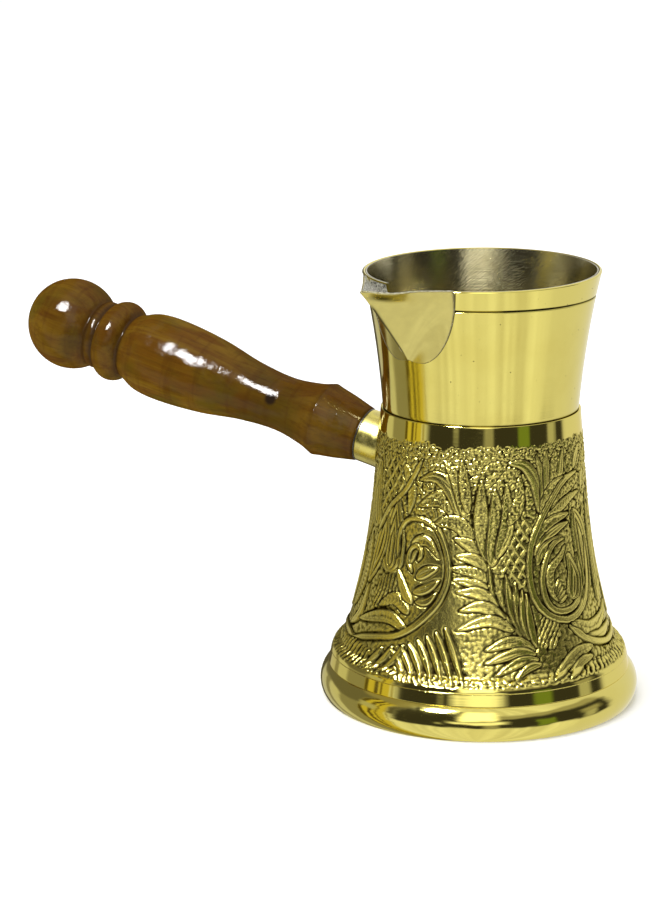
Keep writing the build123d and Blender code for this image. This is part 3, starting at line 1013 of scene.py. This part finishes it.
def build_bell():
    """The cast bell: one closed turning whose side is displaced by the chasing."""
    outer, inner = bell_outlines()
    rows = len(outer)
    section = np.vstack([outer, inner])
    columns = np.linspace(0, 360, BELL_COLUMNS, endpoint=False)
    relief, painted = chase_bell()
    fields = np.zeros((3, len(section), BELL_COLUMNS))
    for field, values in zip(fields, painted):
        field[:rows] = sample(relief, values, columns, outer[:, 1])
    lift, hollow, chased = fields
    slope = np.gradient(outer, axis=0)
    normal = np.stack([slope[:, 1], -slope[:, 0]], 1) / np.linalg.norm(slope, axis=1)[:, None]
    angles = np.radians(columns)
    points = turned(section, BELL_COLUMNS)
    points[:rows, :, 0] += lift[:rows] * normal[:, :1] * np.cos(angles)
    points[:rows, :, 1] += lift[:rows] * normal[:, :1] * np.sin(angles)
    points[:rows, :, 2] += lift[:rows] * normal[:, 1:]
    mesh = grid_mesh("bell_chased", points, wrap_rows=True, wrap_columns=True)
    paint(mesh, "hollow", hollow)
    paint(mesh, "chased", chased)
    stand_for(place(mesh, chased_brass()), "pot", "bell")


def neck_curve(inset, low=SEAM, high=RIM, count=60):
    """The neck's flare, moved inwards by inset, between two heights."""
    share = (np.linspace(low, high, count) - SEAM) / (RIM - SEAM)
    waist = NECK_FOOT + NECK_BULGE
    radius = NECK_FOOT * (1 - share) ** 2 + 2 * waist * share * (1 - share) + RIM_RADIUS * share**2
    return np.stack([radius - inset, SEAM + share * (RIM - SEAM)], 1)


def neck_radius(height):
    """Outer radius of the neck at a height."""
    flare = neck_curve(0, 80, RIM, 80)
    return np.interp(height, flare[:, 1], flare[:, 0])


def dip_rim(points, weight=1.0):
    """Lowers the rim above the engraved line, most on the side where the pot pours."""
    start = GROOVE_HEIGHT + GROOVE
    share = np.clip((points[..., 2] - start) / (RIM - start), 0, 1)
    towards = np.cos(np.arctan2(points[..., 1], points[..., 0]) - radians(RIM_LOWEST))
    points[..., 2] -= share * weight * (RIM_LEAN * towards + RIM_DROP)
    return points


def notch_cutter():
    """A prism through the rim where the spout pours, as a hidden tool for the cut."""
    left, right = (-NOTCH_RADIUS, NOTCH_CENTRE), (NOTCH_RADIUS, NOTCH_CENTRE)
    bottom = arc(left, (0, NOTCH_CENTRE - NOTCH_RADIUS), right, 20)
    outline = np.vstack([bottom, [(NOTCH_NEAR_TOP, RIM + 1), (-NOTCH_FAR_TOP, RIM + 1)]])
    out = np.array([cos(radians(SPOUT_AZIMUTH)), sin(radians(SPOUT_AZIMUTH)), 0])
    across = np.array([-out[1], out[0], 0])
    shape = bmesh.new()
    loops = []
    for distance in NOTCH_REACH:
        corners = [out * distance + across * x + np.array([0, 0, z]) for x, z in outline]
        loops.append([shape.verts.new(corner * MM) for corner in corners])
    near, far = loops
    shape.faces.new(near)
    shape.faces.new(far[::-1])
    for i in range(len(outline)):
        j = (i + 1) % len(outline)
        shape.faces.new((near[i], far[i], far[j], near[j]))
    bmesh.ops.recalc_face_normals(shape, faces=shape.faces)
    mesh = bpy.data.meshes.new("notch_cutter")
    shape.to_mesh(mesh)
    shape.free()
    cutter = bpy.data.objects.new("notch_cutter", mesh)
    bpy.context.scene.collection.objects.link(cutter)
    return cutter


def cut_notch(piece):
    """Cuts the pouring notch out of a turned wall."""
    cutter = notch_cutter()
    modify(piece, "BOOLEAN", object=cutter, operation="DIFFERENCE", solver="EXACT")
    bpy.data.objects.remove(cutter)
    piece.data.set_sharp_from_angle(angle=radians(50))


NECK_COLUMNS = 256
SOLDERED_HALF = 27.0       # degrees either side of the spout
SOLDERED_FROM = 102.5


def neck_section():
    """The neck's closed outline, with its engraved line, rounded lip and spigot."""
    below = neck_curve(0, SEAM, GROOVE_HEIGHT - GROOVE, 60)
    above = neck_curve(0, GROOVE_HEIGHT + GROOVE, RIM, 16)
    valley = neck_curve(GROOVE, GROOVE_HEIGHT, RIM, 2)[0]
    groove = [below[-2], (*below[-1], 0.05), (*valley, 0.05), (*above[0], 0.05), above[1]]
    lip_inside = (RIM_RADIUS - WALL + 0.02, RIM - 0.28)
    return np.vstack([
        [(NECK_FOOT - 0.25, SEAM), (NECK_FOOT - 0.06, SEAM + 0.06)],
        below[1:-1],
        bevelled(groove, closed=False)[1:-1],
        above[1:-1],
        arc((RIM_RADIUS - 0.03, RIM - 0.38), (RIM_RADIUS - 0.42, RIM), lip_inside, 11),
        neck_curve(WALL)[-2::-1],
        [(CAVITY_TOP, SPIGOT_END), (SPIGOT_RADIUS, SPIGOT_END), (SPIGOT_RADIUS, SEAM - 0.05)],
    ])


def build_neck():
    """The turned neck, dark with painted shade in its seam and line, and soldered where the spout covers it.
    """
    section = neck_section()
    points = dip_rim(turned(section, NECK_COLUMNS))
    mesh = grid_mesh("neck_turned", points, wrap_rows=True, wrap_columns=True)
    radii, heights = (np.repeat(column, NECK_COLUMNS) for column in section.T)
    flare = neck_curve(0)
    outside = radii > np.interp(heights, flare[:, 1], flare[:, 0]) - 0.6
    # painted shade: a dark line at the step of the seam and in the engraved line
    seam_shade = hump(heights, SEAM, 0.30) + 0.8 * hump(heights, GROOVE_HEIGHT, 0.22)
    paint(mesh, "seam_shade", np.clip(seam_shade, 0, 1) * outside)
    around = np.degrees(np.arctan2(points[..., 1], points[..., 0])).ravel() - SPOUT_AZIMUTH
    covered = np.clip((SOLDERED_HALF - np.abs(around)) / 1.5, 0, 1) * np.clip(heights - SOLDERED_FROM, 0, 1)
    paint(mesh, "solder", covered * outside * (heights < RIM - 0.4))
    piece = place(mesh, turned_brass())
    cut_notch(piece)
    stand_for(piece, "pot", "neck")


def build_lining():
    """The thin tin wash over the whole inside, from the base to just below the rim."""
    outer = np.vstack([
        [(0, PLATE_TOP), (CAVITY_FOOT - 0.4, PLATE_TOP), (CAVITY_FOOT, PLATE_TOP + 0.4)],
        through(CAVITY, 40),
        neck_curve(WALL, SEAM, RIM - 0.12, 40),
    ])
    inner = outer.copy()[::-1]
    inner[:, 0] = np.maximum(inner[:, 0] - LINING, 0)
    corner, floor_height = CAVITY_FOOT - LINING, PLATE_TOP + LINING
    inner[-3:] = [(corner, floor_height + 0.6), (corner - 0.6, floor_height), (0, floor_height)]
    points = dip_rim(turned(np.vstack([outer, inner]), 192))
    piece = place(grid_mesh("tin_lining_wash", points, wrap_columns=True, merge=True), tinned_inside())
    cut_notch(piece)
    stand_for(piece, "pot", "tin_lining")


def build_foot():
    """The rounded foot ring, and the plate that closes the bottom."""
    mirror = polished_brass()
    round_side = arc((39.5, 0), (FOOT_WIDEST, 2.9), (BELL_FOOT, FOOT_TOP), 28)
    under = [(CAVITY_FOOT, 3.0), (CAVITY_FOOT, PLATE_TOP), (PLATE_RADIUS, PLATE_TOP, 0.1),
             (PLATE_RADIUS, 0, 0.2), (39.5, 0, 0.2), round_side[2]]
    top = [round_side[-3], (BELL_FOOT, FOOT_TOP, 0.2), (CAVITY_FOOT, FOOT_TOP)]
    section = np.vstack([
        bevelled(under, closed=False)[:-1],
        round_side[2:-2],
        bevelled(top, closed=False)[1:-1],
        [(CAVITY_FOOT, FOOT_TOP)],
    ])
    ring = place(ring_mesh("foot_ring_rounded", section, 256), mirror)
    stand_for(ring, "pot", "foot_ring")
    side = PLATE_RADIUS - 0.05
    edge = [(34, 0.1), (side, 0.1, 0.2), (side, PLATE_TOP, 0.2), (30, PLATE_TOP)]
    plate = np.vstack([
        [(radius, 0.12 + 0.10 * cos(radius * 0.9)) for radius in np.linspace(0, 33, 12)],
        bevelled(edge, closed=False),
        [(0, PLATE_TOP)],
    ])
    mesh = grid_mesh("bottom_plate_spun", turned(plate, 192), wrap_columns=True, merge=True)
    stand_for(place(mesh, mirror), "pot", "bottom_plate")


# ---------------------------------------------------------------- spout

# the wing's outline: degrees from the spout's azimuth, height on the neck, height on its keel line
WING = [
    (0.0, 90.4, 90.5), (5.0, 89.9, 90.9), (10.5, 90.0, 91.8), (15.5, 91.1, 93.0), (20.0, 93.1, 95.0),
    (24.0, 96.1, 97.6), (26.8, 99.5, 100.2), (28.4, 103.0, 103.0), (28.9, 106.2, 105.8),
    (29.1, 110.0, 108.6),
]
SPOUT_ROWS = 56
SPOUT_COLUMNS = 81
EDGE_PROUD = 0.14
KEEL_ROUND = 0.03          # of a wing's width
LIP_CURL = 0.65
LIP_START = 0.86           # of the way up
LIP_LEAN = 38.0
# normal of the near wing's plane: along the spout's azimuth, across it and up
WING_FACE = (10.9, 12.4, -9.6)
NEAR_BEND = 0.75           # how softly each wing turns from its plane onto the neck
FAR_BEND = 0.12
SOLDER_CORNER = 9.5
SOLDER_DEPTH = 2.6


def fold_wings():
    """The outer sheet: rows climb the keel, columns cross from the far wing to the near one."""
    angle, on_neck, on_keel = through(WING, SPOUT_ROWS).T[..., None]
    climb = np.linspace(0, 1, SPOUT_ROWS)[:, None]
    steps = np.linspace(-1, 1, SPOUT_COLUMNS)[None, :]
    across = steps * (0.3 + 0.7 * np.abs(steps))
    share = np.sqrt(across**2 + KEEL_ROUND**2) - KEEL_ROUND
    share = share / share.max()
    turn = np.radians(angle) * share
    z = on_keel * (1 - share) + on_neck * share
    rise = np.clip((z - KEEL_FOOT[1]) / (RIM - KEEL_FOOT[1]), 0, 1)
    wall = neck_radius(z) + EDGE_PROUD
    flat = KEEL_FOOT[0] * WING_FACE[0] - WING_FACE[2] * (z - KEEL_FOOT[1])
    flat = flat / (WING_FACE[0] * np.cos(turn) + WING_FACE[1] * np.sin(turn))
    bend = FAR_BEND + (NEAR_BEND - FAR_BEND) / (1 + np.exp(-across * 25))
    radius = wall + bend * np.log1p(np.exp(np.minimum((flat - wall) / bend, 80)))
    lip = np.clip((climb - LIP_START) / (1 - LIP_START), 0, 1) ** 2
    curl = LIP_CURL * lip * np.clip(1 - share / 0.55, 0, 1) ** 1.2
    x = radius * np.cos(turn) + curl * cos(radians(LIP_LEAN))
    y = radius * np.sin(turn) * np.sign(across) + curl * sin(radians(LIP_LEAN)) * np.tanh(across * 12)
    z = z - 0.55 * lip * hump(share, 0.27, 0.17) + 0.25 * lip * hump(share, 0, 0.1)
    return SimpleNamespace(outer=np.stack([x, y, z], -1), angle=angle, on_neck=on_neck, on_keel=on_keel,
                           climb=climb, across=across, share=share, rise=rise)


def line_wings(fold):
    """The inner sheet, with the corner by the far wing filled with solder."""
    normal = np.cross(np.gradient(fold.outer, axis=1), np.gradient(fold.outer, axis=0))
    normal /= np.maximum(np.linalg.norm(normal, axis=-1, keepdims=True), 1e-9)
    inner = fold.outer - normal * SHEET * (0.45 + 0.55 * fold.rise[..., None])
    lean = (KEEL_TIP[0] - KEEL_FOOT[0]) / (KEEL_TIP[1] - KEEL_FOOT[1])
    keel = KEEL_FOOT[0] + (fold.on_keel - KEEL_FOOT[1]) * lean
    neck = neck_radius(fold.on_neck) - 0.3
    corner = np.radians(np.minimum(SOLDER_CORNER, 0.6 * fold.angle))
    pool_x = (keel - 1.5) * (1 - fold.share) + neck * np.cos(corner) * fold.share
    pool_y = -neck * np.sin(corner) * fold.share
    depth = np.clip((fold.on_keel[-1] - 0.2 - fold.outer[..., 2]) / SOLDER_DEPTH, 0, 1)
    pooled = depth * (fold.across < 0) * np.clip(4 * fold.share, 0, 1)
    inner[..., 0] += (pool_x - inner[..., 0]) * pooled
    inner[..., 1] += (pool_y - inner[..., 1]) * pooled
    return inner


def paint_spout(mesh, fold):
    """Dark along the seam, with painted shadow beside the keel and painted shade under the lip; grey solder
    on the edges and inside, and a painted highlight of grey solder on the fold.
    """
    climb, across, share = fold.climb, fold.across, fold.share
    edge = hump(share, 1, 0.35 / 15) + 0 * climb
    foot = hump(climb * (SPOUT_ROWS - 1), 0, 2.2)
    keel = np.clip(3 * climb, 0, 1) * np.clip((0.90 - climb) / 0.06, 0, 1)
    # painted shade under the curled lip
    under_lip_shade = hump(climb, 0.95, 0.025) * hump(across, 0.16, 0.10)
    # the seam's dark line, plus a painted shadow line beside the keel
    seam_shade = np.clip(0.85 * (edge + foot) + hump(across, 0.020, 0.022) * keel + under_lip_shade, 0, 1)
    # painted highlight: a light line of grey solder along the far side of the fold
    fold_highlight = 0.8 * hump(across, -0.016, 0.014) * keel
    outside = np.clip(edge * np.where(across < 0, 1.0, 0.5) + fold_highlight, 0, 1)
    inside = np.clip(fold.rise * 3.0, 0, 1) * np.clip(0.8 + share, 0, 1)
    paint(mesh, "seam_shade", np.concatenate([seam_shade, np.zeros_like(seam_shade)], axis=1))
    paint(mesh, "solder", np.concatenate([outside, inside[:, ::-1]], axis=1))


def build_spout():
    """Two wings folded about a keel, their rounded lobes soldered flat on the neck."""
    fold = fold_wings()
    shell = np.concatenate([fold.outer, line_wings(fold)[:, ::-1]], axis=1)
    turn_back = np.array(Matrix.Rotation(radians(SPOUT_AZIMUTH), 3, "Z"))
    weight = np.concatenate([fold.share, fold.share[:, ::-1]], axis=1)
    mesh = grid_mesh("spout_folded", dip_rim(shell @ turn_back.T, weight), wrap_columns=True)
    close_ends(mesh, SPOUT_ROWS, SPOUT_COLUMNS)
    paint_spout(mesh, fold)
    stand_for(place(mesh, sheet_brass()), "pot", "spout")


def close_ends(mesh, rows, columns):
    """Joins the outer and inner sheet of a folded shell along its first and last row."""
    shape = bmesh.new()
    shape.from_mesh(mesh)
    shape.verts.ensure_lookup_table()
    span = 2 * columns
    for row in (0, rows - 1):
        start = row * span
        end = start + span - 1
        for column in range(columns - 1):
            corners = (start + column, start + column + 1, end - column - 1, end - column)
            shape.faces.new([shape.verts[i] for i in corners])
    bmesh.ops.recalc_face_normals(shape, faces=shape.faces)
    shape.to_mesh(mesh)
    shape.free()
    mesh.shade_smooth()
    mesh.set_sharp_from_angle(angle=radians(55))


# ---------------------------------------------------------------- handle


def socket_start(radius, angles):
    """Distance along the handle where a tube of this radius goes into the bell's wall, at each angle."""
    axis = np.array(HANDLE_AXIS)
    level = np.array([0.0, 1.0, 0.0])
    up = np.cross(level, axis)
    offset = radius * (np.cos(angles)[:, None] * up + np.sin(angles)[:, None] * level)
    root = np.array(HANDLE_ROOT) / MM
    distance = np.full(len(angles), 27.0)
    for _ in range(30):
        spot = root + offset + distance[:, None] * axis
        distance += bell_radius(spot[:, 2]) - np.hypot(spot[:, 0], spot[:, 1])
    return distance


# the braze at the tube's root: how far it stands out of the tube, and its distance from the bell
BRAZE = [(0.35, -1.2), (0.6, -0.05), (0.38, 0.10), (0.18, 0.26), (0.05, 0.50), (0.0, 0.85), (0.0, 1.6)]


def build_socket():
    """The brazed tube that carries the handle, with a fillet of braze where it meets the bell."""
    columns = 96
    angles = np.linspace(0, 2 * pi, columns, endpoint=False)
    rows = [(SOCKET_BORE, BRAZE[0][1], True)]
    rows += [(SOCKET_RADIUS + proud, distance, True) for proud, distance in BRAZE]
    mouth = bevelled([(SOCKET_RADIUS, SOCKET_MOUTH - 2), (SOCKET_RADIUS, SOCKET_MOUTH, 0.18),
                      (SOCKET_BORE, SOCKET_MOUTH, 0.15), (SOCKET_BORE, SOCKET_MOUTH - 1)], closed=False)
    rows += [(radius, distance, False) for radius, distance in mouth]
    points = np.zeros((len(rows), columns, 3))
    for row, (radius, distance, from_bell) in enumerate(rows):
        points[row, :, 0] = radius * np.cos(angles)
        points[row, :, 1] = radius * np.sin(angles)
        points[row, :, 2] = distance + (socket_start(radius, angles) if from_bell else 0)
    mesh = grid_mesh("handle_socket_tube", points, wrap_rows=True, wrap_columns=True)
    # painted shadow: the braze fillet where the tube meets the bell is darkened
    root = [float(from_bell and -0.1 < distance < 0.6) for radius, distance, from_bell in rows]
    paint(mesh, "seam_shade", np.repeat(root, columns))
    stand_for(place(mesh, drawn_brass(), handle_matrix()),
              "pot", "handle_socket")


def build_fastening():
    """Plug, threaded stud and washer between the socket and the grip, and the insert in the wood."""
    brass = turned_brass_plain()
    bore, side, sunk = STUD_RADIUS - 0.05, SOCKET_BORE - 0.02, PLUG_FACE - 0.25
    plug = bevelled([(bore, PLUG_ROOT), (side, PLUG_ROOT, 0.2), (side, PLUG_FACE, 0.3), (5.0, PLUG_FACE, 0.1),
                     (4.7, sunk, 0.1), (4.1, sunk, 0.1), (3.8, PLUG_FACE, 0.1), (bore, PLUG_FACE)])
    stand_for(place(ring_mesh("socket_plug_turned", plug, 96), brass, handle_matrix()),
              "pot", "socket_plug")
    stand_for(place(thread_mesh(), steel("steel", colour(0.62, 0.60, 0.57)), handle_matrix()),
              "pot", "handle_stud")
    washer = bevelled([(3.3, SOCKET_MOUTH + 0.05, 0.06), (SOCKET_RADIUS, SOCKET_MOUTH + 0.05, 0.09),
                       (SOCKET_RADIUS, GRIP_FACE - 0.05, 0.09), (3.3, GRIP_FACE - 0.05, 0.06)])
    stand_for(place(ring_mesh("handle_washer_ring", washer, 96),
                    steel("dark_steel", colour(0.030, 0.026, 0.020), 0.0), handle_matrix()),
              "washer", "handle_washer")
    insert = bevelled([(INSERT_BORE, INSERT_START, 0.25), (INSERT_RADIUS - 0.3, INSERT_START, 0.1),
                       (INSERT_RADIUS, INSERT_START + 0.5, 0.1), (INSERT_RADIUS, INSERT_END, 0.2),
                       (INSERT_BORE, INSERT_END, 0.1)])
    stand_for(place(ring_mesh("thread_insert_bush", insert, 96), brass, handle_matrix()),
              "grip", "thread_insert")


def turned_brass_plain():
    """Turned brass of the small parts, with rings from facing and boring."""
    made, nodes = material("turned_brass_small")
    spot = nodes.place_mm()
    parts = nodes.add("ShaderNodeSeparateXYZ", {0: spot})
    squares = [nodes.math("POWER", parts.outputs[i], 2.0) for i in (0, 1)]
    radius = nodes.math("SQRT", nodes.plus(*squares))
    section = nodes.add("ShaderNodeCombineXYZ", {0: radius, 1: parts.outputs[2]}).outputs[0]
    rings = nodes.noise(section, 0.18, 3.0)
    nodes.surface(Base_Color=brass_tone(nodes, spot, 0.4), Metallic=1.0,
                  Roughness=nodes.remap(nodes.noise(spot, 1.5, 4.0), 0.3, 0.7, 0.14, 0.3),
                  Normal=nodes.bump(rings, 0.02))
    return made


def thread_mesh():
    """The stud: a plain shank in the plug, then a rolled thread, and a chamfered end."""
    columns = 64
    shank_end = PLUG_FACE + 0.4
    along = np.concatenate([np.linspace(PLUG_ROOT, shank_end, 8)[:-1],
                            np.arange(shank_end, STUD_END, 0.1), [STUD_END]])
    angles = np.linspace(0, 2 * pi, columns, endpoint=False)
    phase = (along[:, None] - angles[None, :] / (2 * pi) * THREAD_PITCH) / THREAD_PITCH
    wave = np.abs(phase - np.floor(phase) - 0.5) * 2
    depth = 0.55 * np.clip((along - PLUG_FACE - 0.5) / 0.8, 0, 1)[:, None]
    radius = STUD_RADIUS - 0.03 - depth * np.clip(wave * 1.25 - 0.1, 0, 1)
    radius = np.minimum(radius, STUD_RADIUS - 0.9 + (STUD_END - along)[:, None])
    height = np.repeat(along[:, None], columns, 1)
    points = np.stack([radius * np.cos(angles), radius * np.sin(angles), height], -1)
    centre_low = np.zeros((1, columns, 3)) + [0, 0, PLUG_ROOT]
    centre_high = np.zeros((1, columns, 3)) + [0, 0, STUD_END]
    points = np.concatenate([centre_low, points, centre_high])
    return grid_mesh("handle_stud_screw", points, wrap_columns=True, merge=True)


RIDGE = (9.75, 45.2)
BELLY = [RIDGE, (8.4, 49.5), (7.3, 57.5), (8.1, 68.0), (10.2, 79.5), (11.25, 91.0), (10.95, 99.0),
         (8.9, 104.3)]
RING = [(8.9, 105.6), (11.0, 109.2), (8.7, 112.7)]
BALL_START = 134.0
# painted shade in the creases of the turning: centre and width along the handle in millimetres, and darkness
CREASES = ((104.95, 0.7, 1.0), (113.0, 0.8, 0.8), (115.3, 0.8, 1.0), (45.6, 0.7, 0.35), (33.5, 0.5, 0.6))


# how far painted shade darkens the wood at each height above the joint, in millimetres
SHADE_ALONG_GRIP = ([38, 52, 62, 74, 92, 104, 112, 118, 134], [0.60, 0.75, 0.95, 0.35, 0.0, 0.25, 0.55, 0.65, 0.15])


def build_grip():
    """The turned wooden grip: ferrule cone, waist, belly, ring, bead and ball, with its drilled bore."""
    angles = np.radians(np.linspace(BALL_START, 0, 60))
    ball = np.stack([BALL_RADIUS * np.sin(angles), BALL_CENTRE + BALL_RADIUS * np.cos(angles)], 1)
    ball[-1, 0] = 0
    bore = [(0, DRILL_END + 0.8), (DRILL_RADIUS, DRILL_END), (DRILL_RADIUS, INSERT_END),
            (INSERT_RADIUS, INSERT_END)]
    face = bevelled([(INSERT_RADIUS + 0.02, 38), (INSERT_RADIUS + 0.02, GRIP_FACE, 0.25),
                     (6.8, GRIP_FACE, 0.12), (7.2, GRIP_FACE + 0.4, 0.15), (8.6, 39.5)], closed=False)
    belly = through(BELLY, 110)
    section = np.vstack([
        bore,
        face,
        [(9.35, 43.5), (9.6, 44.6)],
        arc((9.68, 44.9), (9.73, 45.25), (9.6, 45.6), 5),
        belly[3:-1],
        arc(BELLY[-1], (8.5, 104.95), RING[0], 8),
        arc(*RING, 22)[1:-1],
        [RING[2]],
        arc(RING[2], (9.3, 114.3), ball[0], 14)[1:-1],
        ball,
    ])
    mesh = grid_mesh("handle_grip_turned", turned(section, 160), wrap_columns=True, merge=True)
    along = np.array([vertex.co.z for vertex in mesh.vertices]) / MM
    crease_shade = sum(weight * np.exp(-(((along - centre) / width) ** 2)) for centre, width, weight in CREASES)
    paint(mesh, "crease_shade", np.clip(crease_shade, 0, 1))
    paint(mesh, "shade_along_grip", np.interp(along, *SHADE_ALONG_GRIP))
    piece = place(mesh, varnished_wood(), handle_matrix())
    stand_for(piece, "grip", "handle_grip")


# ---------------------------------------------------------------- floor, light and camera

CAMERA_PLACE = Vector((0.22523, -0.53061, 0.20082))
CAMERA_FORWARD = Vector((-0.43811, 0.86845, -0.23207))
CAMERA_UP = Vector((-0.09920, 0.20989, 0.97268))
LENS = 93.72
CARD = {"azimuth": -103.5, "elevation": 52.0, "distance": 0.9, "width": 0.19, "height": 0.24, "power": 18.0}
OVERHEAD = {"place": (-0.5, -0.5, 1.6), "size": 1.8, "power": 24.0}


def build_floor():
    """A plain pale floor."""
    made, nodes = material("pale_floor")
    grain = nodes.noise(nodes.place_mm(), 60.0, 2.0)
    tone = nodes.mix(nodes.remap(grain, 0.3, 0.7), colour(0.96, 0.96, 0.96), colour(0.945, 0.945, 0.945))
    nodes.surface(Base_Color=tone, Roughness=0.9, Specular_IOR_Level=0.0)
    shape = bmesh.new()
    bmesh.ops.create_circle(shape, cap_ends=True, segments=96, radius=8.0)
    mesh = bpy.data.meshes.new("floor")
    shape.to_mesh(mesh)
    shape.free()
    made_floor = place(mesh, made)
    made_floor.visible_glossy = False


def window(nodes, value, low, high, soft):
    """One between low and high, fading over soft on both sides."""
    rising = nodes.remap(value, low - soft, low + soft)
    falling = nodes.remap(value, high + soft, high - soft)
    return nodes.math("MULTIPLY", rising, falling)


# what polished metal sees dimmer or brighter than the pale room: azimuths and softness, elevations, colour
DIM_STRETCHES = [
    (10, 95, 14, -80, 60, colour(0.80, 0.78, 0.74)),
    (118, 202, 3, -80, 50, colour(0.30, 0.28, 0.22)),
    (118, 137, 2, -80, 50, colour(0.10, 0.09, 0.06)),
    (138, 153, 1.5, -80, 50, colour(0.56, 0.54, 0.46)),
    (161, 176, 2.5, -80, 50, colour(0.62, 0.60, 0.52)),
    (199, 224, 1, -80, 60, colour(0.66, 0.54, 0.10)),
    (199, 203, 1, -80, 60, colour(0.12, 0.09, 0.02)),
    (208, 212, 1, -80, 60, colour(0.11, 0.08, 0.02)),
    (215, 217, 1, -80, 60, colour(0.16, 0.12, 0.02)),
    (225, 226.5, 1, -80, 60, colour(0.40, 0.34, 0.14)),
    (118, 199, 3, 4, 44, colour(0.17, 0.155, 0.12)),
    (224, 232, 3, 4, 44, colour(0.17, 0.155, 0.12)),
    (118, 232, 4, 40, 76, colour(0.32, 0.28, 0.17)),
    (199, 214, 3, 0, 16, colour(0.50, 0.48, 0.36)),
    (-66, 38, 6, 21, 40, colour(0.42, 0.40, 0.33)),
    (-130, -58, 6, -16, 58, colour(0.045, 0.042, 0.036)),
    (-66, 38, 6, -15, 25, colour(0.045, 0.042, 0.036)),
    (-98, -92, 2, -5, 2, colour(0.50, 0.49, 0.42)),
    (-64, -52, 3, -18, 12, colour(0.36, 0.35, 0.31)),
    (-86, -46, 5, 2, 14, colour(1.4, 1.38, 1.28)),
    (-80, -52, 5, 18, 58, colour(2.2, 2.1, 1.9)),
    (-24, -9, 2, -13, 12, colour(0.19, 0.26, 0.05)),
    (14, 24, 3, -14, 3, colour(0.50, 0.49, 0.42)),
    (13, 28, 4, 2, 14, colour(0.40, 0.38, 0.30)),
]


def build_world():
    """A pale studio; polished metal sees a dimmer one, with the stretches listed above."""
    world = bpy.data.worlds.new("studio")
    world.use_nodes = True
    world.cycles.sampling_method = "NONE"
    bpy.context.scene.world = world
    nodes = Nodes(world.node_tree)
    direction = nodes.add("ShaderNodeTexCoord").outputs["Generated"]
    bearing = nodes.times(nodes.azimuth(direction), 180 / pi)
    bearing = nodes.plus(bearing, nodes.times(nodes.noise(direction, 0.6, 2.0), 10.0))
    bearing = nodes.plus(bearing, nodes.times(nodes.noise(direction, 0.09, 2.0), 5.0))
    bearing = nodes.math("SUBTRACT", bearing, 7.5)
    height = nodes.add("ShaderNodeSeparateXYZ", {0: direction}).outputs[2]
    elevation = nodes.times(nodes.math("ARCSINE", height), 180 / pi)
    elevation = nodes.plus(elevation, nodes.times(nodes.noise(direction, 0.35, 2.0), 16.0))
    elevation = nodes.math("SUBTRACT", elevation, 8.0)
    turn = nodes.math("FLOORED_MODULO", bearing, 360.0)
    stripes = nodes.add("ShaderNodeCombineXYZ", {0: nodes.math("MULTIPLY", turn, 0.055)}).outputs[0]
    stripes = nodes.noise(stripes, 1.0, 4.0, 0.7)
    tone = nodes.mix(nodes.remap(stripes, 0.36, 0.64), colour(1.05, 1.04, 1.0), colour(0.74, 0.71, 0.63))
    for low, high, soft, bottom, top, seen in DIM_STRETCHES:
        sideways = window(nodes, bearing if low < 0 else turn, low, high, soft)
        upwards = window(nodes, elevation, bottom, top, 4.0)
        tone = nodes.mix(nodes.times(sideways, upwards), tone, seen)
    glossy = nodes.add("ShaderNodeLightPath").outputs["Is Glossy Ray"]
    light = nodes.mix(glossy, colour(1.06, 1.06, 1.06), tone)
    background = nodes.add("ShaderNodeBackground", {"Color": light, "Strength": 1.0})
    nodes.add("ShaderNodeOutputWorld", {"Surface": background.outputs[0]})


def build_card():
    """The softbox that the varnish and the foot reflect."""
    light = bpy.data.lights.new("softbox", "AREA")
    light.shape = "RECTANGLE"
    light.size = CARD["width"]
    light.size_y = CARD["height"]
    light.energy = CARD["power"]
    made = bpy.data.objects.new("softbox", light)
    bpy.context.scene.collection.objects.link(made)
    flat, rise = radians(CARD["azimuth"]), radians(CARD["elevation"])
    away = Vector((cos(flat) * cos(rise), sin(flat) * cos(rise), sin(rise)))
    made.location = away * CARD["distance"]
    made.rotation_euler = away.to_track_quat("Z", "Y").to_euler()
    made.visible_diffuse = False


def build_overhead():
    """A very large soft light above, for the wood and the floor."""
    light = bpy.data.lights.new("overhead", "AREA")
    light.shape = "DISK"
    light.size = OVERHEAD["size"]
    light.energy = OVERHEAD["power"]
    made = bpy.data.objects.new("overhead", light)
    bpy.context.scene.collection.objects.link(made)
    made.location = OVERHEAD["place"]
    made.rotation_euler = Vector(OVERHEAD["place"]).to_track_quat("Z", "Y").to_euler()
    made.visible_glossy = False


def build_camera():
    """The camera at the photograph's angle."""
    data = bpy.data.cameras.new("camera")
    data.sensor_width = 36.0
    data.lens = LENS
    data.clip_start = 0.01
    made = bpy.data.objects.new("camera", data)
    bpy.context.scene.collection.objects.link(made)
    right = CAMERA_FORWARD.cross(CAMERA_UP).normalized()
    up = right.cross(CAMERA_FORWARD).normalized()
    turn_matrix = Matrix((right, up, -CAMERA_FORWARD.normalized())).transposed().to_4x4()
    made.matrix_world = Matrix.Translation(CAMERA_PLACE) @ turn_matrix
    bpy.context.scene.camera = made


build_bell()
build_neck()
build_lining()
build_foot()
build_spout()
build_socket()
build_fastening()
build_grip()
build_floor()
build_world()
build_card()
build_overhead()
build_camera()
bpy.context.scene.view_settings.view_transform = "Standard"
